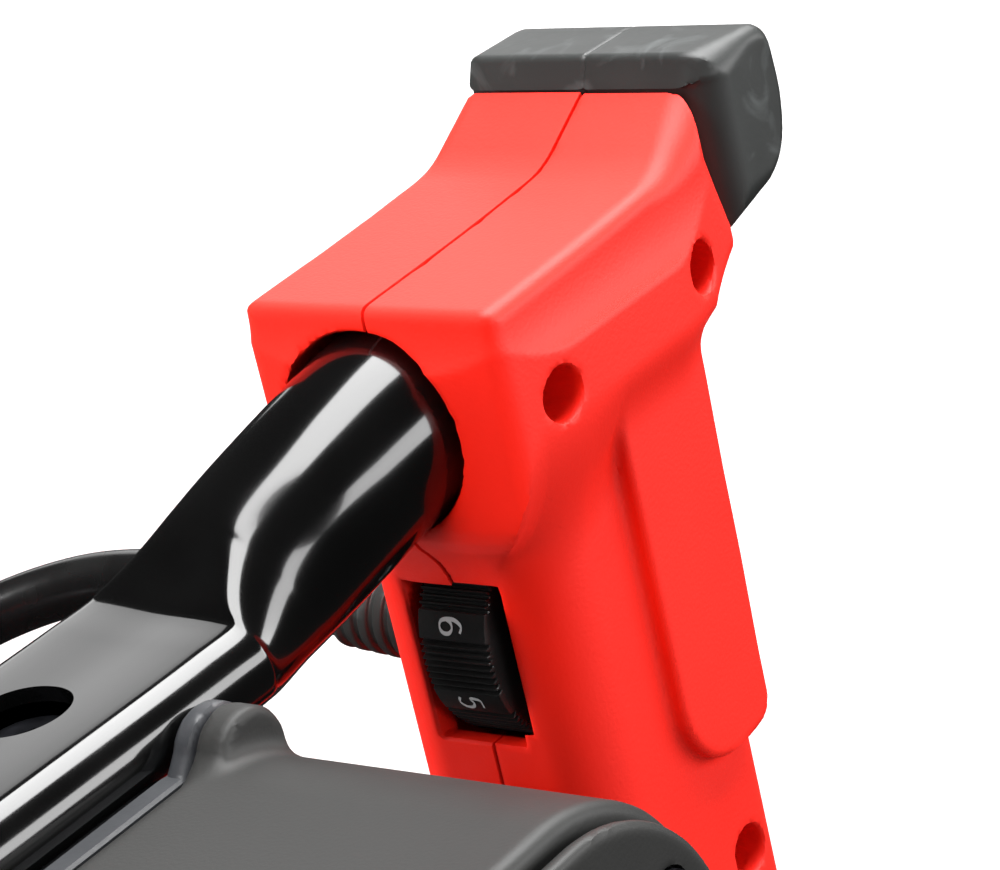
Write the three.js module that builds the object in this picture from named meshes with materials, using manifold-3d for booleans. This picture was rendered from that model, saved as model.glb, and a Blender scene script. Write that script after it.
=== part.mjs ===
// A hand-held paddle mixer without its paddle: motor and gearbox on one vertical axis, carried by two
// flattened steel tubes that end in a switch handle and a plain handle. Millimetres, +Z up the motor axis,
// +X to the front tube, the switch handle at -Y. The origin is the middle of the spindle's lower face.
import * as THREE from "three";
import { mergeVertices } from "three/addons/utils/BufferGeometryUtils.js";
import Module from "manifold-3d";

const wasm = await Module();
wasm.setup();

// Driving dimensions
const GAP = 0.35; // clearance between neighbouring pieces
const HANDLE_Z = 130; // height of both handles' seam plane above the spindle's lower face
const HEAD_HALF = 19.5; // half thickness of a handle's ends, along Z
const GRIP_HALF = 15; // half thickness of the grip between them
const GRIP_FRONT = -91.5; // the grip's face towards the motor, in Y
const GRIP_BACK = -126.5; // the grip's face away from the motor
const BOSS_FACE = -87; // where a tube leaves a handle
const HEAD_X = 86.3; // end of the red body, along X
const BUMPER_X = 91; // end of the rubber bumper
const PARTING_Y = -140; // face between a handle's body and its bumper
const TUBE_R = 12.5;
const TUBE_WALL = 2;
const FLAT_HALF = 6; // half thickness of a tube where it is pressed flat
const FLAT_X = 46.4; // middle plane of the flattened stretch
const FLAT_Z = -13.5; // its height from the handles' seam plane
const SOCKET = { x: 61.7, z: -2 }; // the tube's place in a handle
const BOLT_Y = 29.5; // tube bolts, from the middle plane
const SCREWS = [[63.8, -95.5], [66.2, -129.5], [-14, -118.6], [-63.8, -95.5], [-66.2, -129.5]];
const SCREW_HEAD_R = 3.6; // radius of the recess over a screw's head
const DIAL = { x: 28, y: -105.2, z: -0.7, r: 16.2, half: 5.4, ridges: 8, pitch: 40, six: 18 };
const TRIGGER_PIVOT = [-35, -99.5];
const LOCK = [-25, -113]; // the lock button under the grip
const MOTOR_SIDE = [45.4, 55.1]; // half width of the motor housing along X and Y
const MOTOR_CORNER = 28; // length that a corner's curve takes off each side
const MOTOR_WALL = 4;
const MOTOR_FLOOR = 6.55; // bottom of the motor housing, above the seam plane
const MOTOR_TOP = 58; // joint between motor housing and tail cap
const MOTOR_END = 62; // end of the tail cap
const LUG = { x: 43.7, y: 39.2, r: 5.8, top: 11 };
const LONG_SCREW = [30, 44]; // place of the screws that hold the tail cap
const CASE = [[40, -37, 6], [40, 38, 6], [27, 57, 12], [-27, 57, 12], [-40, 38, 6], [-40, -37, 6], [-28, -42, 6],
  [28, -42, 6]];
const CASE_SPLIT = -22.5; // joint between gear case and its cover
const LAYSHAFT = [0, 27]; // centre distance of both gear pairs
const STAGE_1 = { module: 1.2, pinion: 9, wheel: 36, from: -33.5, to: -24.5 };
const STAGE_2 = { module: 1.5, pinion: 9, wheel: 27, from: -53.5, to: -40.5 };
const CABLE_R = 4.4;
const CABLE_LOOP = { r: 35.9, z: -79 }; // the hanging loop's bend and the height of its middle
const CABLE_EXIT = [18, -117]; // where the motor's cable leaves the switch handle
const CABLE_ENTRY = [0, -51.5]; // where it enters the motor
const MAINS_ENTRY = [-43, -110.5]; // where the mains lead enters the switch handle

// ---------- helpers: three.js geometry to solid and back ----------

// A closed three.js geometry as a solid with its faces outwards.
function solid(geometry) {
  const bare = geometry.index ? geometry.toNonIndexed() : geometry.clone();
  bare.deleteAttribute("normal");
  bare.deleteAttribute("uv");
  const merged = mergeVertices(bare, 1e-4);
  const index = merged.index.array;
  const corners = [];
  for (let i = 0; i < index.length; i += 3) {
    const [a, b, c] = [index[i], index[i + 1], index[i + 2]];
    if (a !== b && b !== c && a !== c) corners.push(a, b, c);
  }
  const build = (verts) =>
    new wasm.Manifold(
      new wasm.Mesh({ numProp: 3, vertProperties: merged.attributes.position.array, triVerts: verts }),
    );
  const made = build(new Uint32Array(corners));
  return made.volume() < 0 ? build(new Uint32Array(corners).reverse()) : made;
}

// A solid as a three.js geometry with flat faces.
function geometryOf(body) {
  const made = body.getMesh();
  const positions = new Float32Array(made.numVert * 3);
  for (let i = 0; i < made.numVert; i++)
    positions.set(made.vertProperties.subarray(i * made.numProp, i * made.numProp + 3), i * 3);
  const geometry = new THREE.BufferGeometry();
  geometry.setAttribute("position", new THREE.BufferAttribute(positions, 3));
  geometry.setIndex(new THREE.BufferAttribute(made.triVerts, 1));
  const flat = geometry.toNonIndexed();
  flat.computeVertexNormals();
  return flat;
}

const union = (...bodies) => bodies.reduce((sum, body) => sum.add(body));
const cut = (body, ...tools) => tools.reduce((left, tool) => left.subtract(tool), body);

// A box between two opposite corners.
function block(low, high) {
  const size = high.map((v, i) => v - low[i]);
  const middle = high.map((v, i) => (v + low[i]) / 2);
  return solid(new THREE.BoxGeometry(...size).translate(...middle));
}

// A round bar along Z, or along X or Y, from one end to the other; at is its place across the axis.
function bar(radius, from, to, { at = [0, 0], axis = "z", sides = 24 } = {}) {
  const geometry = new THREE.CylinderGeometry(radius, radius, to - from, sides);
  geometry.translate(0, (from + to) / 2, 0);
  if (axis === "z") geometry.rotateX(Math.PI / 2).translate(at[0], at[1], 0);
  if (axis === "y") geometry.translate(at[0], 0, at[1]);
  if (axis === "x") geometry.rotateZ(-Math.PI / 2).translate(0, at[0], at[1]);
  return solid(geometry);
}

// A turned piece on the Z axis from [radius, height] points, which start and end on the axis.
function turned(points, sides = 40, at = [0, 0]) {
  const profile = points.map(([r, z]) => new THREE.Vector2(r, z));
  const geometry = new THREE.LatheGeometry(profile, sides).rotateX(Math.PI / 2);
  return solid(geometry.translate(at[0], at[1], 0));
}

// The points of a closed outline through [x, y, radius] corners, moved inwards by inset. A corner with a
// radius is rounded by a quadratic curve, which shrinks with the inset but never closes up.
function outline(corners, inset = 0) {
  const at = (i) => new THREE.Vector2(...corners.at(i % corners.length).slice(0, 2));
  const moved = corners.map((_, i) => {
    const before = at(i).sub(at(i - 1)).normalize();
    const after = at(i + 1).sub(at(i)).normalize();
    const inwards = new THREE.Vector2(-before.y - after.y, before.x + after.x);
    return at(i).addScaledVector(inwards, inset / (1 + before.dot(after)));
  });
  return moved.flatMap((here, i) => {
    const radius = corners[i][2] ?? 0;
    if (radius === 0) return [here];
    const [before, after] = [moved.at(i - 1).clone().sub(here), moved[(i + 1) % moved.length].clone().sub(here)];
    const room = 0.45 * Math.min(before.length(), after.length());
    const tangent = Math.min(Math.max(radius - inset, 0.4 + 0.1 * radius), room);
    const ends = [before, after].map((side) => side.setLength(tangent).add(here));
    return new THREE.QuadraticBezierCurve(ends[0], here, ends[1]).getPoints(2);
  });
}

// An outline given thickness from z0 to z1, its edges chamfered by bevel.
function plate(given, z0, z1, bevel = 0) {
  const area = THREE.ShapeUtils.area(given.map(([x, y]) => new THREE.Vector2(x, y)));
  const corners = area < 0 ? given.toReversed() : given;
  const levels = bevel > 0 ? [[z0, bevel], [z0 + bevel, 0], [z1 - bevel, 0], [z1, bevel]] : [[z0, 0], [z1, 0]];
  const rings = levels.map(([z, inset]) => outline(corners, inset).map((p) => [p.x, p.y, z]));
  const count = rings[0].length;
  const index = [];
  for (let level = 0; level < rings.length - 1; level++)
    for (let i = 0; i < count; i++) {
      const a = level * count + i;
      const b = level * count + ((i + 1) % count);
      index.push(a, b, b + count, a, b + count, a + count);
    }
  const cap = outline(corners, levels[0][1]);
  for (const [a, b, c] of THREE.ShapeUtils.triangulateShape(cap, [])) {
    const top = (rings.length - 1) * count;
    index.push(a, c, b, top + a, top + b, top + c);
  }
  const geometry = new THREE.BufferGeometry();
  geometry.setAttribute("position", new THREE.Float32BufferAttribute(rings.flat(2), 3));
  geometry.setIndex(index);
  return solid(geometry);
}

const mirroredX = (corners) => corners.map(([x, y, r]) => [-x, y, r]);

// ---------- materials ----------

const finish = (color, roughness, metalness = 0) => new THREE.MeshStandardMaterial({ color, roughness, metalness });
const redAbs = finish(0xe8281a, 0.5);
const blackRubber = finish(0x333534, 0.75);
const blackPlastic = finish(0x242424, 0.55);
const glossPaint = finish(0x050505, 0.08);
const greyPlastic = finish(0x636361, 0.6);
const castMetal = finish(0x54565a, 0.55, 0.6);
const steel = finish(0xb9bbbd, 0.3, 1);
const blackenedSteel = finish(0x2a2a2c, 0.4, 0.9);
const copper = finish(0xb5683a, 0.35, 1);
const ironCore = finish(0x77797c, 0.5, 0.8);

// Every piece is modelled from the handles' seam plane; the root lifts them to the spindle's lower face.
const root = new THREE.Group();
root.position.z = HANDLE_Z;

// Adds a solid to a group as a named mesh.
function add(group, name, body, material) {
  const mesh = new THREE.Mesh(geometryOf(body), material);
  mesh.name = name;
  group.add(mesh);
  return mesh;
}

// ---------- frame tubes ----------

// Centre line of a tube, from inside one handle to inside the other, symmetrical about Y = 0.
function tubePath() {
  const half = [
    [SOCKET.x + 0.3, -116, SOCKET.z + 0.6],
    [SOCKET.x + 0.3, -103, SOCKET.z + 0.6],
    [SOCKET.x - 0.2, -91, SOCKET.z],
    [58.3, -81, -4.2],
    [50.5, -66.5, -10.6],
    [FLAT_X + 0.6, -57, FLAT_Z + 0.6],
    [FLAT_X, -47, FLAT_Z],
  ];
  const other = half.map(([x, y, z]) => [x, -y, z]).reverse();
  return [...half, [FLAT_X, -20, FLAT_Z], [FLAT_X, 0, FLAT_Z], [FLAT_X, 20, FLAT_Z], ...other];
}

// A solid bar along the tube's path: round at its ends and pressed flat in the middle. grow thickens it.
function tubeBar(grow, stretch = 0, sides = 12) {
  const points = tubePath().map((p) => new THREE.Vector3(...p));
  points[0].y -= stretch;
  points.at(-1).y += stretch;
  const curve = new THREE.CatmullRomCurve3(points, false, "centripetal");
  const bends = [...Array(8).keys()].map((i) => 0.05 + i * 0.045);
  const stations = [0, ...bends, 0.5, ...bends.map((t) => 1 - t).reverse(), 1];
  const steps = stations.length - 1;
  const positions = [];
  const index = [];
  const across = new THREE.Vector3();
  const up = new THREE.Vector3(1, 0, 0);
  for (let i = 0; i <= steps; i++) {
    const t = stations[i];
    const centre = curve.getPointAt(t);
    const along = curve.getTangentAt(t);
    across.crossVectors(along, up).normalize();
    const normal = new THREE.Vector3().crossVectors(across, along).normalize();
    const flat = 1 - THREE.MathUtils.smoothstep(Math.abs(centre.y), 51, 68);
    const b = THREE.MathUtils.lerp(TUBE_R, FLAT_HALF, flat);
    const web = (Math.PI * (TUBE_R - b)) / 2; // half of the flat web, which keeps the girth constant
    for (let k = 0; k < sides; k++) {
      const angle = ((k + 0.5) / sides) * 2 * Math.PI;
      const wide = Math.cos(angle) * (b + grow) + Math.sign(Math.cos(angle)) * web;
      const high = Math.sin(angle) * (b + grow);
      const point = centre.clone().addScaledVector(across, wide).addScaledVector(normal, high);
      positions.push(point.x, point.y, point.z);
    }
  }
  for (let i = 0; i < steps; i++)
    for (let k = 0; k < sides; k++) {
      const a = i * sides + k;
      const b = i * sides + ((k + 1) % sides);
      index.push(a, b, b + sides, a, b + sides, a + sides);
    }
  for (let k = 1; k < sides - 1; k++) {
    const last = steps * sides;
    index.push(0, k + 1, k, last, last + k, last + k + 1);
  }
  const geometry = new THREE.BufferGeometry();
  geometry.setAttribute("position", new THREE.Float32BufferAttribute(positions, 3));
  geometry.setIndex(index);
  return solid(geometry);
}

// A hollow frame tube with its access holes in the outer wall and its bolt holes in the inner wall.
function frameTube() {
  const holes = [-BOLT_Y, BOLT_Y].flatMap((y) => [
    bar(6.2, FLAT_X, FLAT_X + 12, { at: [y, FLAT_Z - 0.5], axis: "x" }),
    bar(4.4, FLAT_X - 12, FLAT_X, { at: [y, FLAT_Z - 0.5], axis: "x" }),
  ]);
  return cut(tubeBar(0), tubeBar(-TUBE_WALL, 5), ...holes);
}

// A hexagon-socket bolt through the tube's inner wall into the gear case, head towards +X.
function tubeBolt(y) {
  const seat = FLAT_X - FLAT_HALF + TUBE_WALL + GAP;
  const at = [y, FLAT_Z - 0.5];
  const key = solid(
    new THREE.CylinderGeometry(2.9, 2.9, 4, 6).rotateZ(Math.PI / 2).translate(seat + 4.5, at[0], at[1]),
  );
  const body = union(
    bar(5.8, seat, seat + 5.5, { at, axis: "x" }),
    bar(4, seat - 16, seat + 1, { at, axis: "x", sides: 16 }),
  );
  return cut(body, key);
}

const tubes = new THREE.Group();
for (const [side, turn] of [["front", 0], ["rear", Math.PI]]) {
  const pair = new THREE.Group();
  pair.rotation.z = turn;
  pair.scale.y = turn ? -1 : 1;
  add(pair, `${side}_tube`, frameTube(), glossPaint);
  add(pair, `${side}_tube_bolt_1`, tubeBolt(-BOLT_Y), blackenedSteel);
  add(pair, `${side}_tube_bolt_2`, tubeBolt(BOLT_Y), blackenedSteel);
  tubes.add(pair);
}
root.add(tubes);

// ---------- handles ----------

const HEAD = [
  [HEAD_X, -139.3, 1.5], [79.2, -128, 6], [77.2, -110, 0], [76.8, BOSS_FACE, 3], [45, BOSS_FACE, 5],
  [59, -107.8, 6], [52, -127.6, 0], [57, -129.6, 4], [65.2, PARTING_Y, 1],
];
const GRIP = [
  [66, -92.5, 0], [66, -124, 0], [46, GRIP_BACK, 6], [-46, GRIP_BACK, 6], [-66, -124, 0], [-66, -92.5, 0],
  [-44, -90, 8], [-12, GRIP_FRONT - 1.5, 20], [12, GRIP_FRONT - 1.5, 20], [44, -90, 8],
];
const PALM_PAD = [[62, -107.8, 0], [6.5, -107.8, 4], [2, -115, 4], [3.5, GRIP_BACK, 4], [62, -128, 0]];
const BUMPER = [[BUMPER_X, -141.7, 1], [86.4, -139.8, 0], [86.4, PARTING_Y - GAP, 0], [65, PARTING_Y - GAP, 1],
  [71.5, -154.5, 4], [79, -157, 3], [BUMPER_X, -156.3, 4]];

// The rubber bumper's stalk, which a handle's two shells clamp.
const stalk = (grow) =>
  union(
    block([73 - grow, PARTING_Y - 1, -9 - grow], [80 + grow, -134 + grow, 9 + grow]),
    block([70 - grow, -136.5 - grow, -9 - grow], [83 + grow, -133.5 + grow, 9 + grow]),
  );

// The outside of a handle without its holes.
function handleBody() {
  const bevel = 3;
  const heads = [HEAD, mirroredX(HEAD)].map((corners) => plate(corners, -HEAD_HALF, HEAD_HALF, bevel));
  const grip = plate(GRIP, -GRIP_HALF - 1, GRIP_HALF + 1, 6);
  const pad = plate(PALM_PAD, -HEAD_HALF + 0.4, HEAD_HALF - 0.4, 1.5);
  return union(...heads, grip, pad);
}

// Everything that is taken out of both shells of a handle.
function handleHollows() {
  const cavity = [[-42, -95, 3], [-42, -122.5, 3], [45, -122.5, 3], [45, -95, 3]];
  const ends = [1, -1].flatMap((s) => {
    const pocket = [[48, -121, 2], [60, -121, 2], [60, -124.5, 2], [48, -124.5, 2]].map(([x, y, r]) => [s * x, y, r]);
    const flip = new THREE.Matrix4().makeScale(s, 1, 1);
    const mouth = geometryOf(tubeBar(GAP)).applyMatrix4(flip);
    return [plate(pocket, -12, 12), solid(mouth),
      solid(geometryOf(stalk(GAP)).applyMatrix4(flip))];
  });
  return [plate(cavity, -12.3, 12.3), ...ends];
}

// A screw that joins the two shells; its head sits on a shoulder deep in the upper one.
const handleScrew = ([x, y]) =>
  union(
    cut(bar(3.1, 4.5, 7, { at: [x, y], sides: 12 }), block([x - 2.2, y - 0.4, 5.9], [x + 2.2, y + 0.4, 8])),
    bar(1.6, -9, 4.6, { at: [x, y], sides: 8 }),
  );

// The recess, clearance and pilot holes for one screw.
const screwHoles = ([x, y]) => [
  bar(SCREW_HEAD_R, 4.5 - GAP, HEAD_HALF + 1, { at: [x, y], sides: 20 }),
  bar(2, -10, 6, { at: [x, y], sides: 10 }),
];

// The post inside the grip that the middle screw passes through.
const middlePost = () => cut(bar(5.2, -13, 13, { at: SCREWS[2] }), ...screwHoles(SCREWS[2]));

// Splits a handle at its seam and gives back [upper, lower].
function handleShells(extraCuts) {
  const whole = cut(handleBody(), ...handleHollows()).add(
    bar(5.2, -13, 13, { at: SCREWS[2], sides: 16 }),
  );
  const drilled = cut(whole, ...SCREWS.flatMap(screwHoles), ...extraCuts);
  const over = block([-120, -170, GAP / 2], [120, 0, 40]);
  const under = block([-120, -170, -40], [120, 0, -GAP / 2]);
  return [drilled.intersect(over), drilled.intersect(under)];
}

// A bumper for the +X end: rubber block with its stalk.
const bumper = () => plate(BUMPER, -20, 20, 2).add(stalk(0));

// Adds the pieces that both handles have.
function addHandle(group, name, extraCuts) {
  const [upper, lower] = handleShells(extraCuts);
  add(group, `${name}_upper_shell`, upper, redAbs);
  add(group, `${name}_lower_shell`, lower, redAbs);
  add(group, `${name}_front_bumper`, bumper(), blackRubber);
  const rear = add(group, `${name}_rear_bumper`, bumper(), blackRubber);
  rear.scale.x = -1;
  SCREWS.forEach((at, i) => add(group, `${name}_screw_${i + 1}`, handleScrew(at), blackenedSteel));
}

// ---------- switch handle: dial, trigger, switch and lock button ----------

// The thumbwheel: smooth number pads with ridged zones between them.
function dialWheel() {
  const { r, half, pitch, six, ridges } = DIAL;
  const padHalf = 6.4; // degrees from the middle of a number pad to its edge
  const corners = [];
  const put = (degrees, radius) => {
    const a = THREE.MathUtils.degToRad(90 - six + degrees);
    corners.push([Math.cos(a) * radius, Math.sin(a) * radius]);
  };
  const step = (pitch - 2 * padHalf) / ridges;
  for (let start = 0; start < 360; start += pitch) {
    for (const degrees of [-padHalf, 0, padHalf]) put(start + degrees, r);
    for (let i = 0; i < ridges; i++) {
      put(start + padHalf + (i + 0.4) * step, r - 0.6);
      if (i < ridges - 1) put(start + padHalf + (i + 0.9) * step, r);
    }
  }
  const hole = bar(1.9, -half - 1, half + 1, { sides: 12 });
  const dish = cut(bar(11, half - 2, half + 1), bar(4, half - 3, half + 2, { sides: 16 }));
  return cut(plate(corners, -half, half), hole, dish);
}

// The potentiometer under the wheel, with the pin the wheel turns on.
const dialPotentiometer = () =>
  union(bar(8, -11.5, -6, { sides: 20 }), bar(1.5, -6.5, 6, { sides: 12 }), block([-1, -13, -11.5], [7, -6, -8]));

// The finger lever, hinged at its -X end; pressing turns it into the grip.
function triggerLever() {
  const side = [[-38.5, -97, 3], [-38.5, -102.5, 2.5], [-31, -103.5, 1], [5, -101.5, 1.5], [7.5, -96, 1],
    [6.5, -86, 5], [-4, -83.5, 6], [-22, -85.5, 6], [-34, -91, 3]];
  const lever = plate(side, -6.5, 6.5, 1);
  return cut(lever, bar(1.8, -8, 8, { at: TRIGGER_PIVOT, sides: 12 }));
}

const triggerPin = () => bar(1.5, -12, 12, { at: TRIGGER_PIVOT, sides: 12 });

// A coil spring drawn as a closed sleeve, between the trigger and the switch.
const triggerSpring = () =>
  cut(bar(3, -107.2, -103.4, { at: [-8, 0], axis: "y", sides: 14 }),
    bar(2.2, -108, -102, { at: [-8, 0], axis: "y", sides: 10 }));

// The switch body, which fills the grip behind the trigger and clears the middle screw post.
function switchModule() {
  const body = block([-39, -121.5, -8], [9, -108, 8]);
  return cut(body, bar(6, -14, 14, { at: SCREWS[2], sides: 16 })).add(block([-34, -108.5, -6], [-20, -106, 6]));
}

// The lock button under the grip: a cap, a stem through the wall and a collar inside.
const lockButton = () =>
  union(
    bar(4.6, -19.6, -16.6, { at: LOCK, sides: 20 }),
    bar(3.2, -17, -11.5, { at: LOCK, sides: 12 }),
    bar(4.4, -11.9, -10.9, { at: LOCK, sides: 12 }),
  );

// The sleeve that guides the motor's cable out of the grip's underside.
const handleCableBoot = () =>
  cut(
    turned([[0, -10.2], [7, -10.2], [7, -11.9], [5.9, -11.9], [5.9, -19.5], [7.6, -19.5], [7.6, -21.5], [5.4, -42],
      [0, -42]], 20, CABLE_EXIT),
    bar(CABLE_R + GAP, -50, -9, { at: CABLE_EXIT, sides: 16 }),
  );

// The inlet for the mains lead: a nut outside, a neck through the wall and a blind mouth.
const mainsGland = () =>
  cut(
    turned([[0, -11], [5.5, -11], [5.5, -16.4], [7.4, -16.4], [7.4, -21], [6, -24], [0, -24]], 20, MAINS_ENTRY),
    bar(3.9, -30, -14, { at: MAINS_ENTRY, sides: 16 }),
  );

const switchCuts = [
  block([15.2, -97, -8.3], [34.8, -80, 5.4]), // dial slot
  block([-39.5, -97.5, -7], [8.5, -80, 7]), // trigger opening
  bar(DIAL.r + 1, -8.3, 7, { at: [DIAL.x, DIAL.y], sides: 32 }), // room for the wheel
  bar(1.5 + GAP, -13, 13, { at: TRIGGER_PIVOT, sides: 12 }),
  bar(3.2 + GAP, -25, -10, { at: LOCK, sides: 16 }),
  bar(4.6 + GAP, -25, -13.8, { at: LOCK, sides: 20 }),
  bar(5.9 + GAP, -25, -10, { at: CABLE_EXIT, sides: 20 }),
  bar(7 + GAP, -12.3, -8, { at: CABLE_EXIT, sides: 20 }),
  bar(5.5 + GAP, -25, -8, { at: MAINS_ENTRY, sides: 20 }),
];

const switchHandle = new THREE.Group();
addHandle(switchHandle, "switch_handle", switchCuts);
add(switchHandle, "speed_dial", dialWheel(), blackPlastic).position.set(DIAL.x, DIAL.y, DIAL.z);
add(switchHandle, "dial_potentiometer", dialPotentiometer(), blackPlastic).position.set(DIAL.x, DIAL.y, DIAL.z);
add(switchHandle, "trigger", triggerLever(), blackPlastic);
add(switchHandle, "trigger_pin", triggerPin(), steel);
add(switchHandle, "trigger_spring", triggerSpring(), steel);
add(switchHandle, "switch_module", switchModule(), blackPlastic);
add(switchHandle, "lock_button", lockButton(), blackPlastic);
add(switchHandle, "handle_cable_boot", handleCableBoot(), blackRubber);
add(switchHandle, "mains_gland", mainsGland(), blackRubber);
root.add(switchHandle);

const plainHandle = new THREE.Group();
plainHandle.scale.y = -1;
addHandle(plainHandle, "plain_handle", []);
root.add(plainHandle);

// ---------- motor and gearbox ----------

// A spur gear with involute flanks at 25 degrees and short teeth; phase is the angle of one tooth.
function gear(module, teeth, from, to, { at = [0, 0], phase = 0 } = {}) {
  const pitch = (module * teeth) / 2;
  const base = pitch * Math.cos(THREE.MathUtils.degToRad(25));
  const tip = pitch + 0.8 * module;
  const foot = pitch - 1.1 * module;
  const involute = (radius) => {
    const a = Math.acos(Math.min(1, base / radius));
    return Math.tan(a) - a;
  };
  const half = Math.PI / (2 * teeth) - 0.12 / pitch; // less the backlash
  const flank = [foot, pitch, tip].map((radius) => {
    const spread = radius < base ? involute(base) : involute(radius);
    return [radius, half + involute(pitch) - spread];
  });
  const corners = [];
  for (let tooth = 0; tooth < teeth; tooth++) {
    const middle = phase + (tooth * 2 * Math.PI) / teeth;
    const sides = [...flank.map(([r, a]) => [r, -a]), ...flank.toReversed()];
    for (const [r, a] of sides) corners.push([Math.cos(middle + a) * r, Math.sin(middle + a) * r]);
  }
  return plate(corners, from, to).translate([...at, 0]);
}

// A bearing: one ring of the outer and inner races' overall shape.
const bearing = (outer, bore, from, to, at) =>
  cut(bar(outer, from, to, { at, sides: 20 }), bar(bore + 0.3, from - 1, to + 1, { at, sides: 16 }));

const quadrants = [[1, -1], [-1, -1], [-1, 1], [1, 1]];

// Four round lugs at the motor's joint.
const lugs = (from, to) =>
  union(
    ...quadrants.map(([i, j]) => {
      const web = solid(
        new THREE.BoxGeometry(12, 2 * LUG.r - 0.5, to - from)
          .translate(-6, 0, 0)
          .rotateZ(Math.atan2(LUG.y, LUG.x))
          .translate(LUG.x, LUG.y, (from + to) / 2),
      );
      const lug = bar(LUG.r, from, to, { at: [LUG.x, LUG.y], sides: 16 }).add(web);
      return lug.scale([i, j, 1]);
    }),
  );
const screwBores = (radius, from, to) =>
  quadrants.map(([i, j]) => bar(radius, from, to, { at: [i * LONG_SCREW[0], j * LONG_SCREW[1]], sides: 12 }));

// The motor's outline: a rectangle with wide corners, moved in by inset.
function motorOutline(inset) {
  const [x, y] = MOTOR_SIDE.map((side) => side - inset);
  const r = MOTOR_CORNER - inset;
  return [[x, -y, r], [x, y, r], [-x, y, r], [-x, -y, r]];
}

function motorHousing() {
  const shell = plate(motorOutline(0), MOTOR_FLOOR, MOTOR_TOP - GAP / 2, 1.4);
  return cut(shell.add(lugs(MOTOR_FLOOR, LUG.top)), plate(motorOutline(MOTOR_WALL), 0, 90));
}

// The flat end of the motor, with a groove in its face, screw recesses and a seat for the rear bearing.
function tailCap() {
  const start = MOTOR_TOP + GAP / 2;
  const body = plate(motorOutline(0.8), start, MOTOR_END, 1.6);
  const groove = cut(bar(26, MOTOR_END - 0.8, MOTOR_END + 1, { sides: 40 }), bar(24.5, 0, 90, { sides: 40 }));
  const seat = cut(bar(14.8, 51.2, start + 1, { sides: 24 }), bar(11 + GAP, 40, start, { sides: 24 }));
  return cut(body, groove, ...screwBores(3.2 + GAP, MOTOR_END - 2.3, 80), ...screwBores(2.4, 50, 80)).add(seat);
}

// The plate between gearbox and motor, with the front bearing's seat under it.
function bearingPlate() {
  const top = MOTOR_FLOOR - GAP;
  const inlet = bar(9, 3.2, top, { at: CABLE_ENTRY, sides: 24 });
  const disc = union(plate(motorOutline(1.2), 3.2, top), lugs(3.2, top), inlet);
  const seat = bar(17, -9, 4, { sides: 32 });
  return cut(disc.add(seat), bar(14 + GAP, -7, 10, { sides: 28 }), bar(8, -10, 0, { sides: 20 }),
    bar(6 + GAP, 0, 10, { at: CABLE_ENTRY, sides: 20 }), ...screwBores(2.4, 0, 8));
}

function gearCaseCover() {
  const body = plate(CASE, CASE_SPLIT + GAP / 2, 3.2 - GAP, 1);
  const boltHoles = [-BOLT_Y, BOLT_Y].flatMap((y) => [
    bar(4 + GAP, 20, 45, { at: [y, FLAT_Z - 0.5], axis: "x", sides: 16 }),
    bar(4 + GAP, -45, -20, { at: [y, FLAT_Z - 0.5], axis: "x", sides: 16 }),
  ]);
  return cut(body, bar(17 + GAP, -9 - GAP, 5, { sides: 32 }), bar(9, -25, 0, { sides: 20 }),
    bar(8 + GAP, -25, -15.5, { at: LAYSHAFT, sides: 20 }), ...boltHoles);
}

function gearCase() {
  const box = plate(CASE, -62, CASE_SPLIT - GAP / 2, 2);
  const neck = turned([[0, -104], [20, -104], [21, -103], [22, -84], [26, -72], [34, -61], [0, -61]], 20);
  return cut(box.add(neck), bar(25, -34.5, -20, { at: LAYSHAFT, sides: 24 }), bar(9, -34.5, -20, { sides: 20 }),
    bar(23, -54.5, -40, { sides: 24 }), bar(9.6, -54.5, -34, { at: LAYSHAFT, sides: 24 }),
    bar(8 + GAP, -61.4, -54, { at: LAYSHAFT, sides: 20 }), bar(12 + GAP, -40.4, -34, { sides: 24 }),
    bar(11, -93, -54, { sides: 24 }), bar(17.5 + GAP, -103, -93, { sides: 28 }), bar(12, -110, -100, { sides: 24 }));
}

// The rotor: shaft with its pinion, laminated core and end windings.
function rotor() {
  const shaft = turned([[0, -26], [3.3, -26], [3.3, -9], [6, -8], [6, 43], [5, 43.5], [5, 57.2], [0, 57.2]],
    16);
  const core = turned([[0, 15], [17, 15], [22, 17], [22, 19], [24.5, 19], [24.5, 37], [22, 37], [22, 39],
    [16, 41.5], [0, 41.5]], 24);
  return union(shaft, core, gear(STAGE_1.module, STAGE_1.pinion, STAGE_1.from, STAGE_1.to, { phase: Math.PI / 2 }));
}

function fan() {
  const disc = turned([[0, 8.2], [12, 8.2], [37, 8.2], [37, 9.6], [12, 10.4], [12, 14.5], [0, 14.5]], 24);
  const blades = [...Array(9).keys()].map((i) =>
    solid(new THREE.BoxGeometry(23, 1.6, 5).translate(25, 0, 12).rotateZ((i * 2 * Math.PI) / 9)),
  );
  return cut(union(disc, ...blades), bar(6.3, 0, 20, { sides: 20 }));
}

function layshaft() {
  const gap1 = -Math.PI / 2 + Math.PI / STAGE_1.wheel; // a gap faces the rotor's pinion
  return union(
    bar(4, -61, -16, { at: LAYSHAFT, sides: 16 }),
    bar(8.5, -34, -33, { at: LAYSHAFT, sides: 20 }),
    gear(STAGE_1.module, STAGE_1.wheel, STAGE_1.from, STAGE_1.to, { at: LAYSHAFT, phase: gap1 }),
    gear(STAGE_2.module, STAGE_2.pinion, STAGE_2.from, STAGE_2.to, { at: LAYSHAFT, phase: -Math.PI / 2 }),
    bar(5, -41, -33.6, { at: LAYSHAFT, sides: 16 }),
  );
}

const spindleGear = () =>
  cut(
    gear(STAGE_2.module, STAGE_2.wheel, STAGE_2.from, STAGE_2.to, { phase: Math.PI / 2 + Math.PI / STAGE_2.wheel }),
    bar(8.3, -60, -35, { sides: 24 }),
  );

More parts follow.
